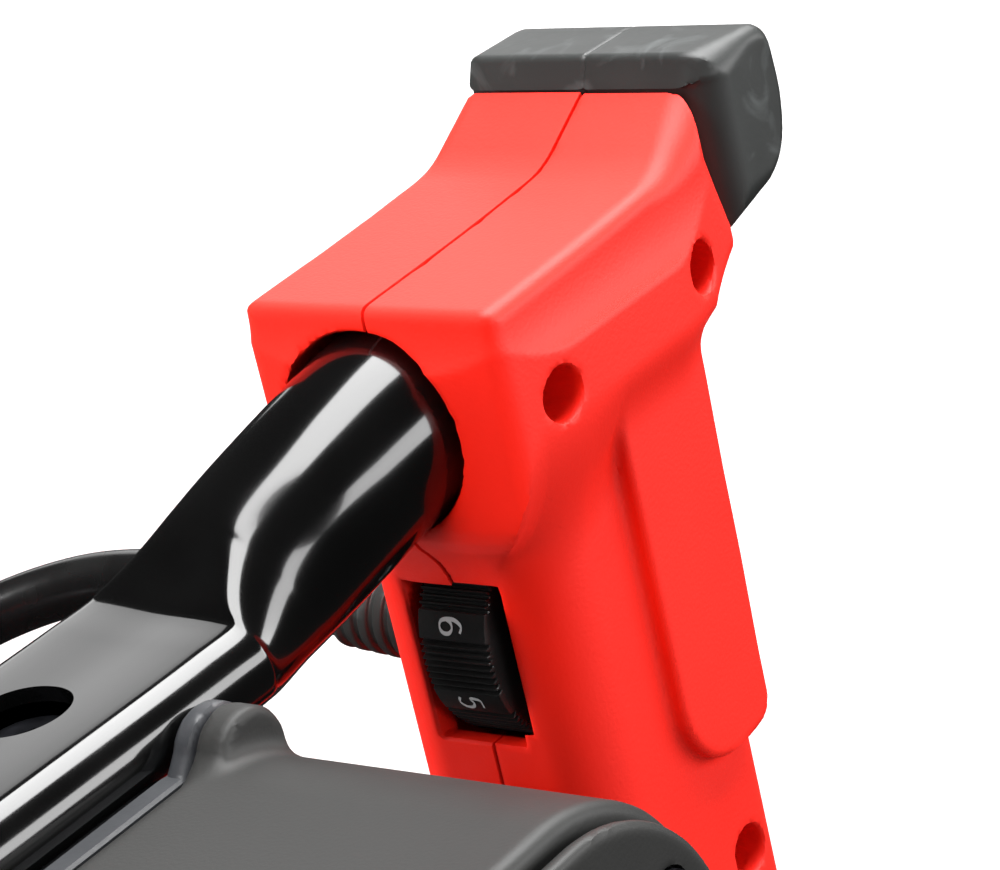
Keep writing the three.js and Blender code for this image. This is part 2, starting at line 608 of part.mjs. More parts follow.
// The output spindle: threaded nose with a hexagon for the spanner, then the bearing and gear seats.
function spindle() {
  const shaft = turned([[0, -HANDLE_Z], [10, -HANDLE_Z], [11, -HANDLE_Z + 1], [11, -113], [10, -113], [10, -106],
    [8.5, -106], [8.5, -57], [9.5, -57], [9.5, -54], [8, -54], [8, -40.6], [6, -40.4], [6, -34.8], [0, -34.8]], 20);
  const hexagon = solid(new THREE.CylinderGeometry(12.7, 12.7, 7, 6).rotateX(Math.PI / 2).translate(0, 0, -109.6));
  return cut(shaft.add(hexagon), bar(6.2, -HANDLE_Z - 1, -HANDLE_Z + 20, { sides: 24 }));
}

// A carbon brush in its holder, reaching from the commutator to the housing.
const brush = (side) => {
  const body = union(block([12.4, -3, 44.5], [20, 3, 50]), block([17, -4.5, 43.8], [41, 4.5, 49.8]));
  return side > 0 ? body : body.scale([-1, 1, 1]);
};

const stator = () =>
  cut(bar(MOTOR_SIDE[0] - MOTOR_WALL - 0.8, 18, 40, { sides: 48 }), bar(25.2, 10, 60, { sides: 40 }));

// A long screw from the tail cap down to the bearing plate.
function motorScrew([i, j]) {
  const at = [i * LONG_SCREW[0], j * LONG_SCREW[1]];
  const key = bar(1.6, MOTOR_END - 1.2, MOTOR_END + 1, { at, sides: 6 });
  return union(cut(bar(3.2, MOTOR_END - 2, MOTOR_END - 0.2, { at, sides: 16 }), key), bar(2, 3.4, 60.2, { at, sides: 8 }));
}

const motorGrommet = () =>
  cut(
    turned([[0, -22], [5.4, -22], [7.4, -3], [7.8, -3], [7.8, 2.85], [6, 2.85], [6, 6.1], [0, 6.1]], 20, CABLE_ENTRY),
    bar(CABLE_R + GAP, -30, 8, { at: CABLE_ENTRY, sides: 16 }),
  );

// The cable between switch handle and motor: one hanging loop, held at both ends.
function motorCable() {
  const [dx, dy] = [CABLE_ENTRY[0] - CABLE_EXIT[0], CABLE_ENTRY[1] - CABLE_EXIT[1]];
  const span = Math.hypot(dx, dy);
  const at = (s, z) => [CABLE_EXIT[0] + (s * dx) / span, CABLE_EXIT[1] + (s * dy) / span, z];
  const bend = [...Array(9).keys()].map((i) => {
    const a = (i / 8) * Math.PI;
    return at(span / 2 - CABLE_LOOP.r * Math.cos(a), CABLE_LOOP.z - CABLE_LOOP.r * Math.sin(a));
  });
  const down = [at(0, -12.6), at(0, -36), at(-1.2, -58)];
  const points = [...down, ...bend, at(span + 1.2, -58), at(span, -36), at(span, 5.9)];
  const curve = new THREE.CatmullRomCurve3(points.map((p) => new THREE.Vector3(...p)), false, "centripetal");
  const section = new THREE.Shape();
  for (let k = 0; k < 8; k++) {
    const a = (k / 8) * 2 * Math.PI;
    if (k) section.lineTo(Math.cos(a) * CABLE_R, Math.sin(a) * CABLE_R);
    else section.moveTo(CABLE_R, 0);
  }
  return solid(new THREE.ExtrudeGeometry(section, { steps: 36, extrudePath: curve }));
}

const drive = new THREE.Group();
add(drive, "motor_housing", motorHousing(), greyPlastic);
add(drive, "tail_cap", tailCap(), greyPlastic);
add(drive, "bearing_plate", bearingPlate(), castMetal);
add(drive, "gear_case_cover", gearCaseCover(), castMetal);
add(drive, "gear_case", gearCase(), castMetal);
quadrants.forEach((corner, i) => add(drive, `motor_screw_${i + 1}`, motorScrew(corner), blackenedSteel));
add(drive, "rotor", rotor(), ironCore);
add(drive, "commutator", bearing(12, 5, 43.9, 50.4, [0, 0]), copper);
add(drive, "fan", fan(), blackPlastic);
add(drive, "stator", stator(), ironCore);
add(drive, "brush_left", brush(1), copper);
add(drive, "brush_right", brush(-1), copper);
add(drive, "rotor_front_bearing", bearing(14, 6, -6.6, 1.4, [0, 0]), steel);
add(drive, "rotor_rear_bearing", bearing(11, 5, 51.5, 57, [0, 0]), steel);
add(drive, "layshaft", layshaft(), steel);
add(drive, "layshaft_upper_bearing", bearing(8, 4, -22.2, -16.2, LAYSHAFT), steel);
add(drive, "layshaft_lower_bearing", bearing(8, 4, -61, -55, LAYSHAFT), steel);
add(drive, "spindle", spindle(), steel);
add(drive, "spindle_gear", spindleGear(), steel);
add(drive, "spindle_upper_bearing", bearing(12, 6, -40, -35, [0, 0]), steel);
add(drive, "spindle_lower_bearing", bearing(17.5, 8.5, -102.7, -93.3, [0, 0]), steel);
add(drive, "motor_cable", motorCable(), blackPlastic);
add(drive, "motor_cable_grommet", motorGrommet(), blackRubber);
root.add(drive);

export default root;
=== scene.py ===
"""Dresses a hand-held paddle mixer's head: moulded grips, pressed tubes, motor, gearbox and cable.

Shapes are worked out in millimetres from the grips' seam plane, with +Z up the motor's axis and +X
towards the front tube, and are lifted and turned to metres as they are put into meshes.
"""

import logging
from dataclasses import dataclass, field
from enum import Enum
from typing import Callable, Sequence

import bpy
import numpy as np
from mathutils import Matrix, Vector


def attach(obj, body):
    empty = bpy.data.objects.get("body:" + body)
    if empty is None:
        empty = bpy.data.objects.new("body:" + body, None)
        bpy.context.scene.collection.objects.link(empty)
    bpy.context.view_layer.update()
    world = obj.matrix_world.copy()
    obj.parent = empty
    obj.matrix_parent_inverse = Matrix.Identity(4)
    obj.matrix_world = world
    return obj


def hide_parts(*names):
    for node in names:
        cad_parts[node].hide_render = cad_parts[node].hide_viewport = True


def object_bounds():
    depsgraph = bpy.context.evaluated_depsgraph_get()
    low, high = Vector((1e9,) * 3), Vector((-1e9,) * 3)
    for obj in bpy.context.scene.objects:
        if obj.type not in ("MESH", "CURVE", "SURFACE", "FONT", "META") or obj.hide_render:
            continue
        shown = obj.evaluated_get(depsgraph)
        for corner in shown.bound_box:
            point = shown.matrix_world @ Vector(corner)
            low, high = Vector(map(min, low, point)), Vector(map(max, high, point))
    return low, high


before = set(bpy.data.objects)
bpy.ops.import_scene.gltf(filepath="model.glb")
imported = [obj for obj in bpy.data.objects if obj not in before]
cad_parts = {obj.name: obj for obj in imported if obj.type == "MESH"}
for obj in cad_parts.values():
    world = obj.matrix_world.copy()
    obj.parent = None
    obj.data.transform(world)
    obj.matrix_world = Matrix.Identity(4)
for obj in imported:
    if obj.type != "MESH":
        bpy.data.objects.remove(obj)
CAD_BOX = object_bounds()

LOG = logging.getLogger("mixer")
MM = 0.001
Array = np.ndarray
Field = Callable[[Array, Array, Array], Array]
Shape = tuple[Array, Array]  # vertices in mm, one row each, and quads of vertex numbers

SEAM_Z = 130.0  # height of the grips' seam plane above the spindle's lower face
TINY = 1e-9  # lengths below this count as none
SKIN_SHARP = 38  # edges of a moulded or cast piece that turn by more degrees shade as creases


# ---------- distance fields and skins ----------


def rounded(corners: Sequence[Sequence[float]], steps: int = 6) -> Array:
    """Rounds a closed outline's corners.

    Each corner (x, y, r) is replaced by a quadratic curve that starts and ends r before and after it.

    Args:
        corners: x, y and the length taken off each side, in mm.
        steps: pieces in each rounded corner.

    Returns:
        The outline's points, one row each.
    """
    points = np.array([c[:2] for c in corners], float)
    cuts = np.array([c[2] if len(c) > 2 else 0.0 for c in corners])
    rows = []
    for here, before, after, cut in zip(points, np.roll(points, 1, 0), np.roll(points, -1, 0), cuts):
        if cut == 0:
            rows.append(here[None])
            continue
        start = here + (before - here) * cut / np.linalg.norm(before - here)
        end = here + (after - here) * cut / np.linalg.norm(after - here)
        t = np.linspace(0, 1, steps + 1)[:, None]
        rows.append((1 - t) ** 2 * start + 2 * t * (1 - t) * here + t**2 * end)
    return np.concatenate(rows)


def outline_distance(x: Array, y: Array, outline: Array) -> Array:
    """Signed distance to a closed outline.

    It is the least distance to any side, and its sign flips at each side that a ray along +X crosses.

    Args:
        x, y: places in mm.
        outline: the outline's points, one row each.

    Returns:
        Distance in mm, negative inside.
    """
    nearest = np.full(np.broadcast(x, y).shape, np.inf)
    inside = np.zeros(nearest.shape, bool)
    for (ax, ay), (bx, by) in zip(outline, np.roll(outline, -1, 0)):
        ex, ey = bx - ax, by - ay
        if abs(ex) + abs(ey) < TINY:
            continue
        t = np.clip(((x - ax) * ex + (y - ay) * ey) / (ex * ex + ey * ey), 0, 1)
        nearest = np.minimum(nearest, (x - ax - t * ex) ** 2 + (y - ay - t * ey) ** 2)
        if ay != by:
            inside ^= ((ay > y) != (by > y)) & (x < (y - ay) * ex / ey + ax)
    return np.where(inside, -1, 1) * np.sqrt(nearest)


def slab(flat: Array, across: Array, half: float, edge: Array | float) -> Array:
    """Distance to an outline given thickness, with its edges rounded.

    Both distances are moved in by the edge radius, joined as a right angle, and moved out again.

    Args:
        flat: distance to the outline.
        across: height above the slab's middle.
        half: half its thickness.
        edge: radius of its edges.

    Returns:
        Distance in mm, negative inside.
    """
    u, v = flat + edge, np.abs(across) - half + edge
    return np.minimum(np.maximum(u, v), 0) + np.hypot(np.maximum(u, 0), np.maximum(v, 0)) - edge


def blend(a: Array, b: Array, width: float) -> Array:
    """Union of two fields with a fillet: the lesser one, lowered by a parabola where they come close.

    Args:
        a, b: the fields.
        width: how close they are where the fillet starts, in mm.

    Returns:
        The joined field.
    """
    share = np.maximum(width - np.abs(a - b), 0) / width
    return np.minimum(a, b) - share * share * width / 4


def carve(a: Array, tool: Array, width: float) -> Array:
    """First field less the tool, with the new edge eased over width."""
    return -blend(-a, tool, width)


def rod(x: Array, y: Array, at: Sequence[float], radius: Array | float) -> Array:
    """Distance to an endless round bar that stands at a point of the plane."""
    return np.hypot(x - at[0], y - at[1]) - radius


def brick(
    x: Array, y: Array, z: Array, low: Sequence[float], high: Sequence[float], edge: float
) -> Array:
    """Distance to a box: the length of the three distances past its faces, or the greatest one inside.

    Args:
        x, y, z: places in mm.
        low, high: two far corners.
        edge: radius of its edges.

    Returns:
        Distance in mm, negative inside.
    """
    parts = [np.abs(v - (a + b) / 2) - (b - a) / 2 + edge for v, a, b in zip((x, y, z), low, high)]
    outer = np.sqrt(sum(np.maximum(p, 0) ** 2 for p in parts))
    return outer + np.minimum(np.maximum(np.maximum(parts[0], parts[1]), parts[2]), 0) - edge


@dataclass(frozen=True)
class Skin:
    """A closed surface round a distance field, with its creases kept."""

    low: tuple[float, float, float]
    high: tuple[float, float, float]
    step: float
    pull: float = 0.06  # weight that draws a vertex to the middle of its crossings
    reach: float = 0.04  # half the length over which a slope is taken, in mm

    def wrap(self, shape: Field) -> Shape:
        """Wraps the field's zero surface by dual contouring on a regular grid.

        Every grid edge that changes sign gives a crossing point and the field's gradient there. Each cell's
        vertex is the point that lies best on the planes of its edges' crossings, pulled lightly to their
        middle, and every crossing edge joins the vertices of its four cells with one quad.

        Args:
            shape: field in mm, negative inside.

        Returns:
            Vertices, one row each, and quads of vertex numbers.
        """
        step = self.step * 1.0
        axes = [np.arange(lo - 2 * step, hi + 3 * step, step) for lo, hi in zip(self.low, self.high)]
        grid = np.meshgrid(*axes, indexing="ij", sparse=True)
        value = np.broadcast_to(shape(*grid), [len(a) for a in axes])
        inside = value < 0
        dims = np.array(value.shape)
        strides = np.array([dims[1] * dims[2], dims[2], 1])
        origin = np.array([a[0] for a in axes])
        cells, points, normals, quads = [], [], [], []
        for axis in range(3):
            ahead = np.roll(inside, -1, axis)
            changes = np.argwhere(inside != ahead)
            changes = changes[changes[:, axis] < dims[axis] - 1]
            start = tuple(changes.T)
            one = np.zeros(3, int)
            one[axis] = 1
            v0, v1 = value[start], value[tuple((changes + one).T)]
            point = origin + step * (changes + one * (v0 / (v0 - v1))[:, None])
            slope = np.stack([self._slope(shape, point, k) for k in range(3)], -1)
            normal = slope / np.maximum(np.linalg.norm(slope, axis=1, keepdims=True), TINY)
            b, c = [k for k in range(3) if k != axis]
            ring = np.zeros((4, 3), int)
            ring[[0, 3], b] = -1
            ring[[0, 1], c] = -1
            around = ((changes[:, None, :] + ring) * strides).sum(-1)
            flip = inside[start] == (axis == 1)
            quads.append(np.where(flip[:, None], around[:, ::-1], around))
            cells.append(around.ravel())
            points.append(np.repeat(point, 4, 0))
            normals.append(np.repeat(normal, 4, 0))
        owner, index = np.unique(np.concatenate(cells), return_inverse=True)
        points, normals = np.concatenate(points), np.concatenate(normals)

        def total(weight: Array) -> Array:
            """Sum of a weight over each cell's crossings."""
            return np.bincount(index, weight, len(owner))

        count = np.bincount(index, minlength=len(owner)).astype(float)
        middle = np.stack([total(points[:, k]) / count for k in range(3)], -1)
        matrix = np.stack([[total(normals[:, i] * normals[:, j]) for j in range(3)] for i in range(3)])
        matrix = np.moveaxis(matrix, 2, 0)
        reach = (normals * points).sum(1)
        right = np.stack([total(normals[:, k] * reach) for k in range(3)], -1)
        right -= np.einsum("nij,nj->ni", matrix, middle)
        matrix = matrix + self.pull * np.eye(3)
        offset = np.linalg.solve(matrix, right[..., None])[..., 0]
        corner = origin + step * np.stack(np.unravel_index(owner, dims), -1)
        vertices = np.clip(middle + offset, corner, corner + step)
        return vertices, np.searchsorted(owner, np.concatenate(quads))

    def _slope(self, shape: Field, point: Array, axis: int) -> Array:
        """Rise of the field along one axis, from reach behind each point to reach ahead.

        Args:
            shape: the field.
            point: places in mm, one row each.
            axis: 0, 1 or 2.

        Returns:
            One rise for each point.
        """
        reach = np.zeros(3)
        reach[axis] = self.reach
        ahead, behind = point + reach, point - reach
        return shape(*ahead.T) - shape(*behind.T)


def sheet_quads(rows: int, columns: int, closed: bool = True) -> Array:
    """Quads of a grid of points that are numbered row by row.

    Args:
        rows, columns: the grid's size.
        closed: whether the last column joins the first.

    Returns:
        Four vertex numbers to a row.
    """
    across = np.arange(columns if closed else columns - 1)
    a = np.arange(rows - 1)[:, None] * columns + across
    b = np.arange(rows - 1)[:, None] * columns + (across + 1) % columns
    return np.stack([a, b, b + columns, a + columns], -1).reshape(-1, 4)


def turned(
    profile: Sequence[Sequence[float]], sides: int, at: Sequence[float] = (0.0, 0.0)
) -> Shape:
    """Turns a profile about a line parallel to Z, so that each of its rows becomes a ring of points.

    Args:
        profile: radius and height of each row.
        sides: points in a ring.
        at: x and y of the line.

    Returns:
        The turned surface.
    """
    rows = np.array(profile, float)
    angle = np.linspace(0, 2 * np.pi, sides, endpoint=False)
    x = at[0] + rows[:, :1] * np.cos(angle)
    y = at[1] + rows[:, :1] * np.sin(angle)
    z = np.broadcast_to(rows[:, 1:2], x.shape)
    return np.stack([x, y, z], -1).reshape(-1, 3), sheet_quads(len(rows), sides)


def eased(profile: Sequence[Sequence[float]], steps: int = 4) -> Array:
    """Rounds the inner corners of an open profile, and keeps its ends.

    Args:
        profile: radius, height and, where a corner is rounded, the length taken off each side.
        steps: pieces in each rounded corner.

    Returns:
        Radius and height of each row.
    """
    return rounded([profile[0][:2], *profile[1:-1], profile[-1][:2]], steps)


def put_mesh(name: str, vertices: Array, quads: Array, sharp: float = 32.0) -> bpy.types.Object:
    """Makes an object from millimetres above the seam plane.

    Args:
        name: object's name.
        vertices: points in mm, from the seam plane.
        quads: four vertex numbers to a row.
        sharp: edges that turn by more degrees than this shade as creases.

    Returns:
        The object, at the origin, with its place in its mesh.
    """
    mesh = bpy.data.meshes.new(name)
    places = (vertices + np.array([0, 0, SEAM_Z])) * MM
    mesh.vertices.add(len(places))
    mesh.vertices.foreach_set("co", places.astype(np.float32).ravel())
    mesh.loops.add(quads.size)
    mesh.loops.foreach_set("vertex_index", quads.astype(np.int32).ravel())
    mesh.polygons.add(len(quads))
    mesh.polygons.foreach_set("loop_start", np.arange(0, quads.size, 4, dtype=np.int32))
    mesh.update(calc_edges=True)
    mesh.validate()
    mesh.shade_smooth()
    mesh.set_sharp_from_angle(angle=np.radians(sharp))
    made = bpy.data.objects.new(name, mesh)
    bpy.context.scene.collection.objects.link(made)
    return made


def mirrored(shape: Shape, axis: int) -> Shape:
    """Mirrors a surface in a middle plane and reverses its quads, so that they face the same way.

    Args:
        shape: the surface.
        axis: the axis that the plane is square to.

    Returns:
        The mirrored surface.
    """
    vertices, quads = shape
    other = vertices.copy()
    other[:, axis] *= -1
    return other, quads[:, ::-1]


# ---------- finishes ----------


def linear(code: str) -> tuple[float, float, float, float]:
    """Turns a colour from sRGB to linear by the standard curve.

    Args:
        code: the colour in hex.

    Returns:
        Linear red, green and blue, and an alpha of one.
    """
    srgb = np.array([int(code[i : i + 2], 16) for i in (1, 3, 5)]) / 255
    flat = np.where(srgb <= 0.04045, srgb / 12.92, ((srgb + 0.055) / 1.055) ** 2.4)
    return (*flat.tolist(), 1.0)


def add_node(
    tree: bpy.types.NodeTree, kind: str, settings: dict | None = None, links: dict | None = None
) -> bpy.types.Node:
    """Adds a node.

    Args:
        tree: the node tree.
        kind: Blender's name of the node's type.
        settings: values of its properties, or of its inputs by name or number.
        links: for an input's name or number, the (node, output) that feeds it.

    Returns:
        The node.
    """
    node = tree.nodes.new(kind)
    for key, value in (settings or {}).items():
        if isinstance(key, str) and hasattr(node, key):
            setattr(node, key, value)
        else:
            node.inputs[key].default_value = value
    for key, (source, output) in (links or {}).items():
        tree.links.new(source.outputs[output], node.inputs[key])
    return node


@dataclass(frozen=True)
class Finish:
    """A moulded, painted or machined surface: two colours in soft patches, and a grain that bumps it."""

    name: str
    base: str
    patch: str
    roughness: float
    roughness_swing: float = 0.06
    metallic: float = 0.0
    ior: float = 1.5
    coat: float = 0.0
    coat_roughness: float = 0.03
    patch_mm: float = 14.0
    grain_mm: float = 0.4
    grain_depth_mm: float = 0.02
    scuff: str = ""
    scuff_mm: float = 9.0
    scuff_share: float = 0.4
    stretch: tuple[float, float, float] = (1.0, 1.0, 1.0)
    wave_mm: float = 0.0
    wave_depth_mm: float = 0.0
    drift_span: tuple[float, float] = (0.3, 0.7)  # what the drift's noise covers
    rub_span: tuple[float, float] = (0.56, 0.74)  # noise at which rubbing starts and is full

    def make(self) -> bpy.types.Material:
        """Builds the node material.

        Returns:
            A material whose colour and roughness drift in patches of patch_mm. Its grain is noise at
            grain_mm, over slow waves if it has any, and scuffs show where a twisted noise is high.
        """
        material = bpy.data.materials.new(self.name)
        material.use_nodes = True
        tree = material.node_tree
        tree.nodes.clear()
        place = add_node(tree, "ShaderNodeTexCoord")
        turn = add_node(tree, "ShaderNodeMapping", {"Scale": self.stretch}, {"Vector": (place, "Object")})
        drift = add_node(
            tree, "ShaderNodeTexNoise", {"Scale": 1 / (self.patch_mm * MM), "Detail": 3.0},
            {"Vector": (turn, 0)},
        )
        colour = add_node(
            tree,
            "ShaderNodeMix",
            {"data_type": "RGBA", 6: linear(self.base), 7: linear(self.patch)},
            {0: (drift, 0)},
        )
        last = (colour, 2)
        low, high = self.roughness - self.roughness_swing, self.roughness + self.roughness_swing
        start, end = self.drift_span
        rough = add_node(
            tree, "ShaderNodeMapRange", {"From Min": start, "From Max": end, "To Min": low, "To Max": high},
            {"Value": (drift, 0)},
        )
        if self.scuff:
            start, end = self.rub_span
            rub = add_node(
                tree, "ShaderNodeTexNoise",
                {"Scale": 1 / (self.scuff_mm * MM), "Detail": 6.0, "Distortion": 1.2},
                {"Vector": (place, "Object")},
            )
            share = add_node(
                tree, "ShaderNodeMapRange",
                {"From Min": start, "From Max": end, "To Min": 0.0, "To Max": self.scuff_share},
                {"Value": (rub, 0)},
            )
            rubbed = add_node(
                tree, "ShaderNodeMix", {"data_type": "RGBA", 7: linear(self.scuff)},
                {0: (share, 0), 6: last},
            )
            last = (rubbed, 2)
        grain = add_node(
            tree, "ShaderNodeTexNoise", {"Scale": 1 / (self.grain_mm * MM), "Detail": 2.0},
            {"Vector": (turn, 0)},
        )
        bump = add_node(
            tree, "ShaderNodeBump", {"Strength": 1.0, "Distance": self.grain_depth_mm * MM},
            {"Height": (grain, 0)},
        )
        if self.wave_depth_mm:
            wave = add_node(
                tree, "ShaderNodeTexNoise", {"Scale": 1 / (self.wave_mm * MM), "Detail": 1.0},
                {"Vector": (place, "Object")},
            )
            bump = add_node(
                tree, "ShaderNodeBump", {"Strength": 1.0, "Distance": self.wave_depth_mm * MM},
                {"Height": (wave, 0), "Normal": (bump, 0)},
            )
        shader = add_node(
            tree,
            "ShaderNodeBsdfPrincipled",
            {
                "Metallic": self.metallic, "IOR": self.ior, "Coat Weight": self.coat,
                "Coat Roughness": self.coat_roughness,
            },
            {"Base Color": last, "Roughness": (rough, 0), "Normal": (bump, 0)},
        )
        add_node(tree, "ShaderNodeOutputMaterial", None, {"Surface": (shader, 0)})
        return material


class Finishes(Enum):
    """The mixer's surfaces."""

    # Spark-eroded ABS: even, saturated colour with a fine matt grain that lightens it at a slant.
    RED_ABS = Finish("spark_eroded_red_abs", "#E61603", "#EA1A05", 0.55, 0.03, ior=1.42, grain_mm=0.55,
                     grain_depth_mm=0.035, patch_mm=30)
    # Moulded nitrile rubber: grey-black, with pale rubbed patches and dust.
    RUBBER = Finish("moulded_nitrile_rubber", "#1F2120", "#272928", 0.48, 0.08, grain_mm=0.8,
                    grain_depth_mm=0.012, patch_mm=18, scuff="#565A5A", scuff_mm=7)
    # Stoved gloss paint on steel tube: near-black under a clear mirror with a slight orange peel.
    TUBE_PAINT = Finish("stoved_gloss_black_paint", "#040404", "#060606", 0.13, 0.02, coat=0.3, grain_mm=3.0,
                        grain_depth_mm=0.004, wave_mm=9.0, wave_depth_mm=0.012)
    # Glass-filled nylon: matt dark grey with a dry, close grain.
    GREY_NYLON = Finish("glass_filled_grey_nylon", "#1F1F1E", "#242423", 0.56, 0.05, ior=1.42, grain_mm=0.5,
                        grain_depth_mm=0.02, patch_mm=25)
    # Moulded acetal: black, satin, with slight flow marks.
    BLACK_ACETAL = Finish("moulded_black_acetal", "#151515", "#1C1C1C", 0.4, 0.08, grain_mm=0.35,
                          grain_depth_mm=0.015, patch_mm=4)
    # Soft PVC sheath: smooth black with a greasy sheen.
    CABLE_PVC = Finish("soft_black_pvc_sheath", "#0B0B0B", "#101010", 0.25, 0.06, grain_mm=2.0,
                       grain_depth_mm=0.01, patch_mm=10)
    # Die-cast aluminium, painted dark: fine orange peel with dull highlights.
    CAST_PAINT = Finish("painted_die_cast_aluminium", "#26272A", "#2E3033", 0.5, 0.06, grain_mm=0.9,
                        grain_depth_mm=0.03, patch_mm=12)
    # Turned steel: bright, with fine tool lines.
    TURNED_STEEL = Finish("turned_steel", "#B9BBBD", "#A6A8AB", 0.28, 0.06, metallic=1.0, grain_mm=0.3,
                          grain_depth_mm=0.004, patch_mm=6, stretch=(1, 1, 8))
    # Blackened steel: dark oxide with an oily gleam.
    BLACK_OXIDE = Finish("blackened_steel", "#26272A", "#303136", 0.36, 0.08, metallic=0.9, grain_mm=0.4,
                         grain_depth_mm=0.006, patch_mm=3)
    # Drawn copper: warm metal, slightly tarnished.
    COPPER = Finish("drawn_copper", "#B5683A", "#9C5630", 0.33, 0.08, metallic=1.0, grain_mm=0.3,
                    grain_depth_mm=0.004, patch_mm=3)
    # Punched core plate: blue-grey iron in thin stacked sheets.
    CORE_PLATE = Finish("punched_core_plate", "#77797C", "#66686C", 0.45, 0.08, metallic=0.8, grain_mm=0.5,
                        grain_depth_mm=0.02, patch_mm=5, stretch=(0.2, 0.2, 3))
    # Pad-printed ink: flat pale grey, slightly uneven.
    PRINT = Finish("pad_printed_grey_ink", "#8F9192", "#A2A4A5", 0.6, 0.05, grain_mm=0.3,
                   grain_depth_mm=0.006, patch_mm=0.8)


class Wardrobe:
    """Makes each finish once and hands it out."""

    def __init__(self) -> None:
        """Starts with nothing made."""
        self._made: dict[Finishes, bpy.types.Material] = {}

    def dress(self, piece: bpy.types.Object, finish: Finishes) -> None:
        """Gives a piece one finish in place of any it has.

        Args:
            piece: the object.
            finish: its surface.
        """
        if finish not in self._made:
            self._made[finish] = finish.value.make()
        piece.data.materials.clear()
        piece.data.materials.append(self._made[finish])


WARDROBE = Wardrobe()


def place(
    name: str, shape: Shape, finish: Finishes, body: str, node: str = "", slot: str = "",
    sharp: float = 32.0,
) -> bpy.types.Object:
    """Makes, dresses and mounts one piece.

    Args:
        name: piece's name.
        shape: vertices and quads, in mm.
        finish: its surface.
        body: the body that carries it.
        node: the modelled node that it stands for, if any.
        slot: the record's material slot; not used.
        sharp: crease angle in degrees.

    Returns:
        The object.
    """
    made = put_mesh(name, *shape, sharp=sharp)
    WARDROBE.dress(made, finish)
    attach(made, body)
    if node:
        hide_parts(node)
    LOG.info("%s: %d faces", name, len(made.data.polygons))
    return made


# ---------- camera, light and floor ----------


@dataclass(frozen=True)
class SoftBox:
    """One area lamp: its place and size in metres, its power, and whether gloss shows it."""

    name: str
    at: tuple[float, float, float]
    size: tuple[float, float]
    watts: float
    in_gloss: bool

    def hang(self, aim: Vector) -> None:
        """Puts the lamp up, its second side as near to +Y as its aim lets it be.

        Args:
            aim: the place it faces, in metres.
        """
        data = bpy.data.lights.new(self.name, "AREA")
        data.shape, data.energy = "RECTANGLE", self.watts
        data.size, data.size_y = self.size
        lamp = bpy.data.objects.new(self.name, data)
        away = (Vector(self.at) - aim).normalized()
        long = (Vector((0, 1, 0)) - away * away.y).normalized()
        turn = Matrix((long.cross(away), long, away)).transposed().to_4x4()
        lamp.matrix_world = Matrix.Translation(Vector(self.at)) @ turn
        lamp.visible_glossy = self.in_gloss
        lamp.visible_camera = False
        bpy.context.scene.collection.objects.link(lamp)


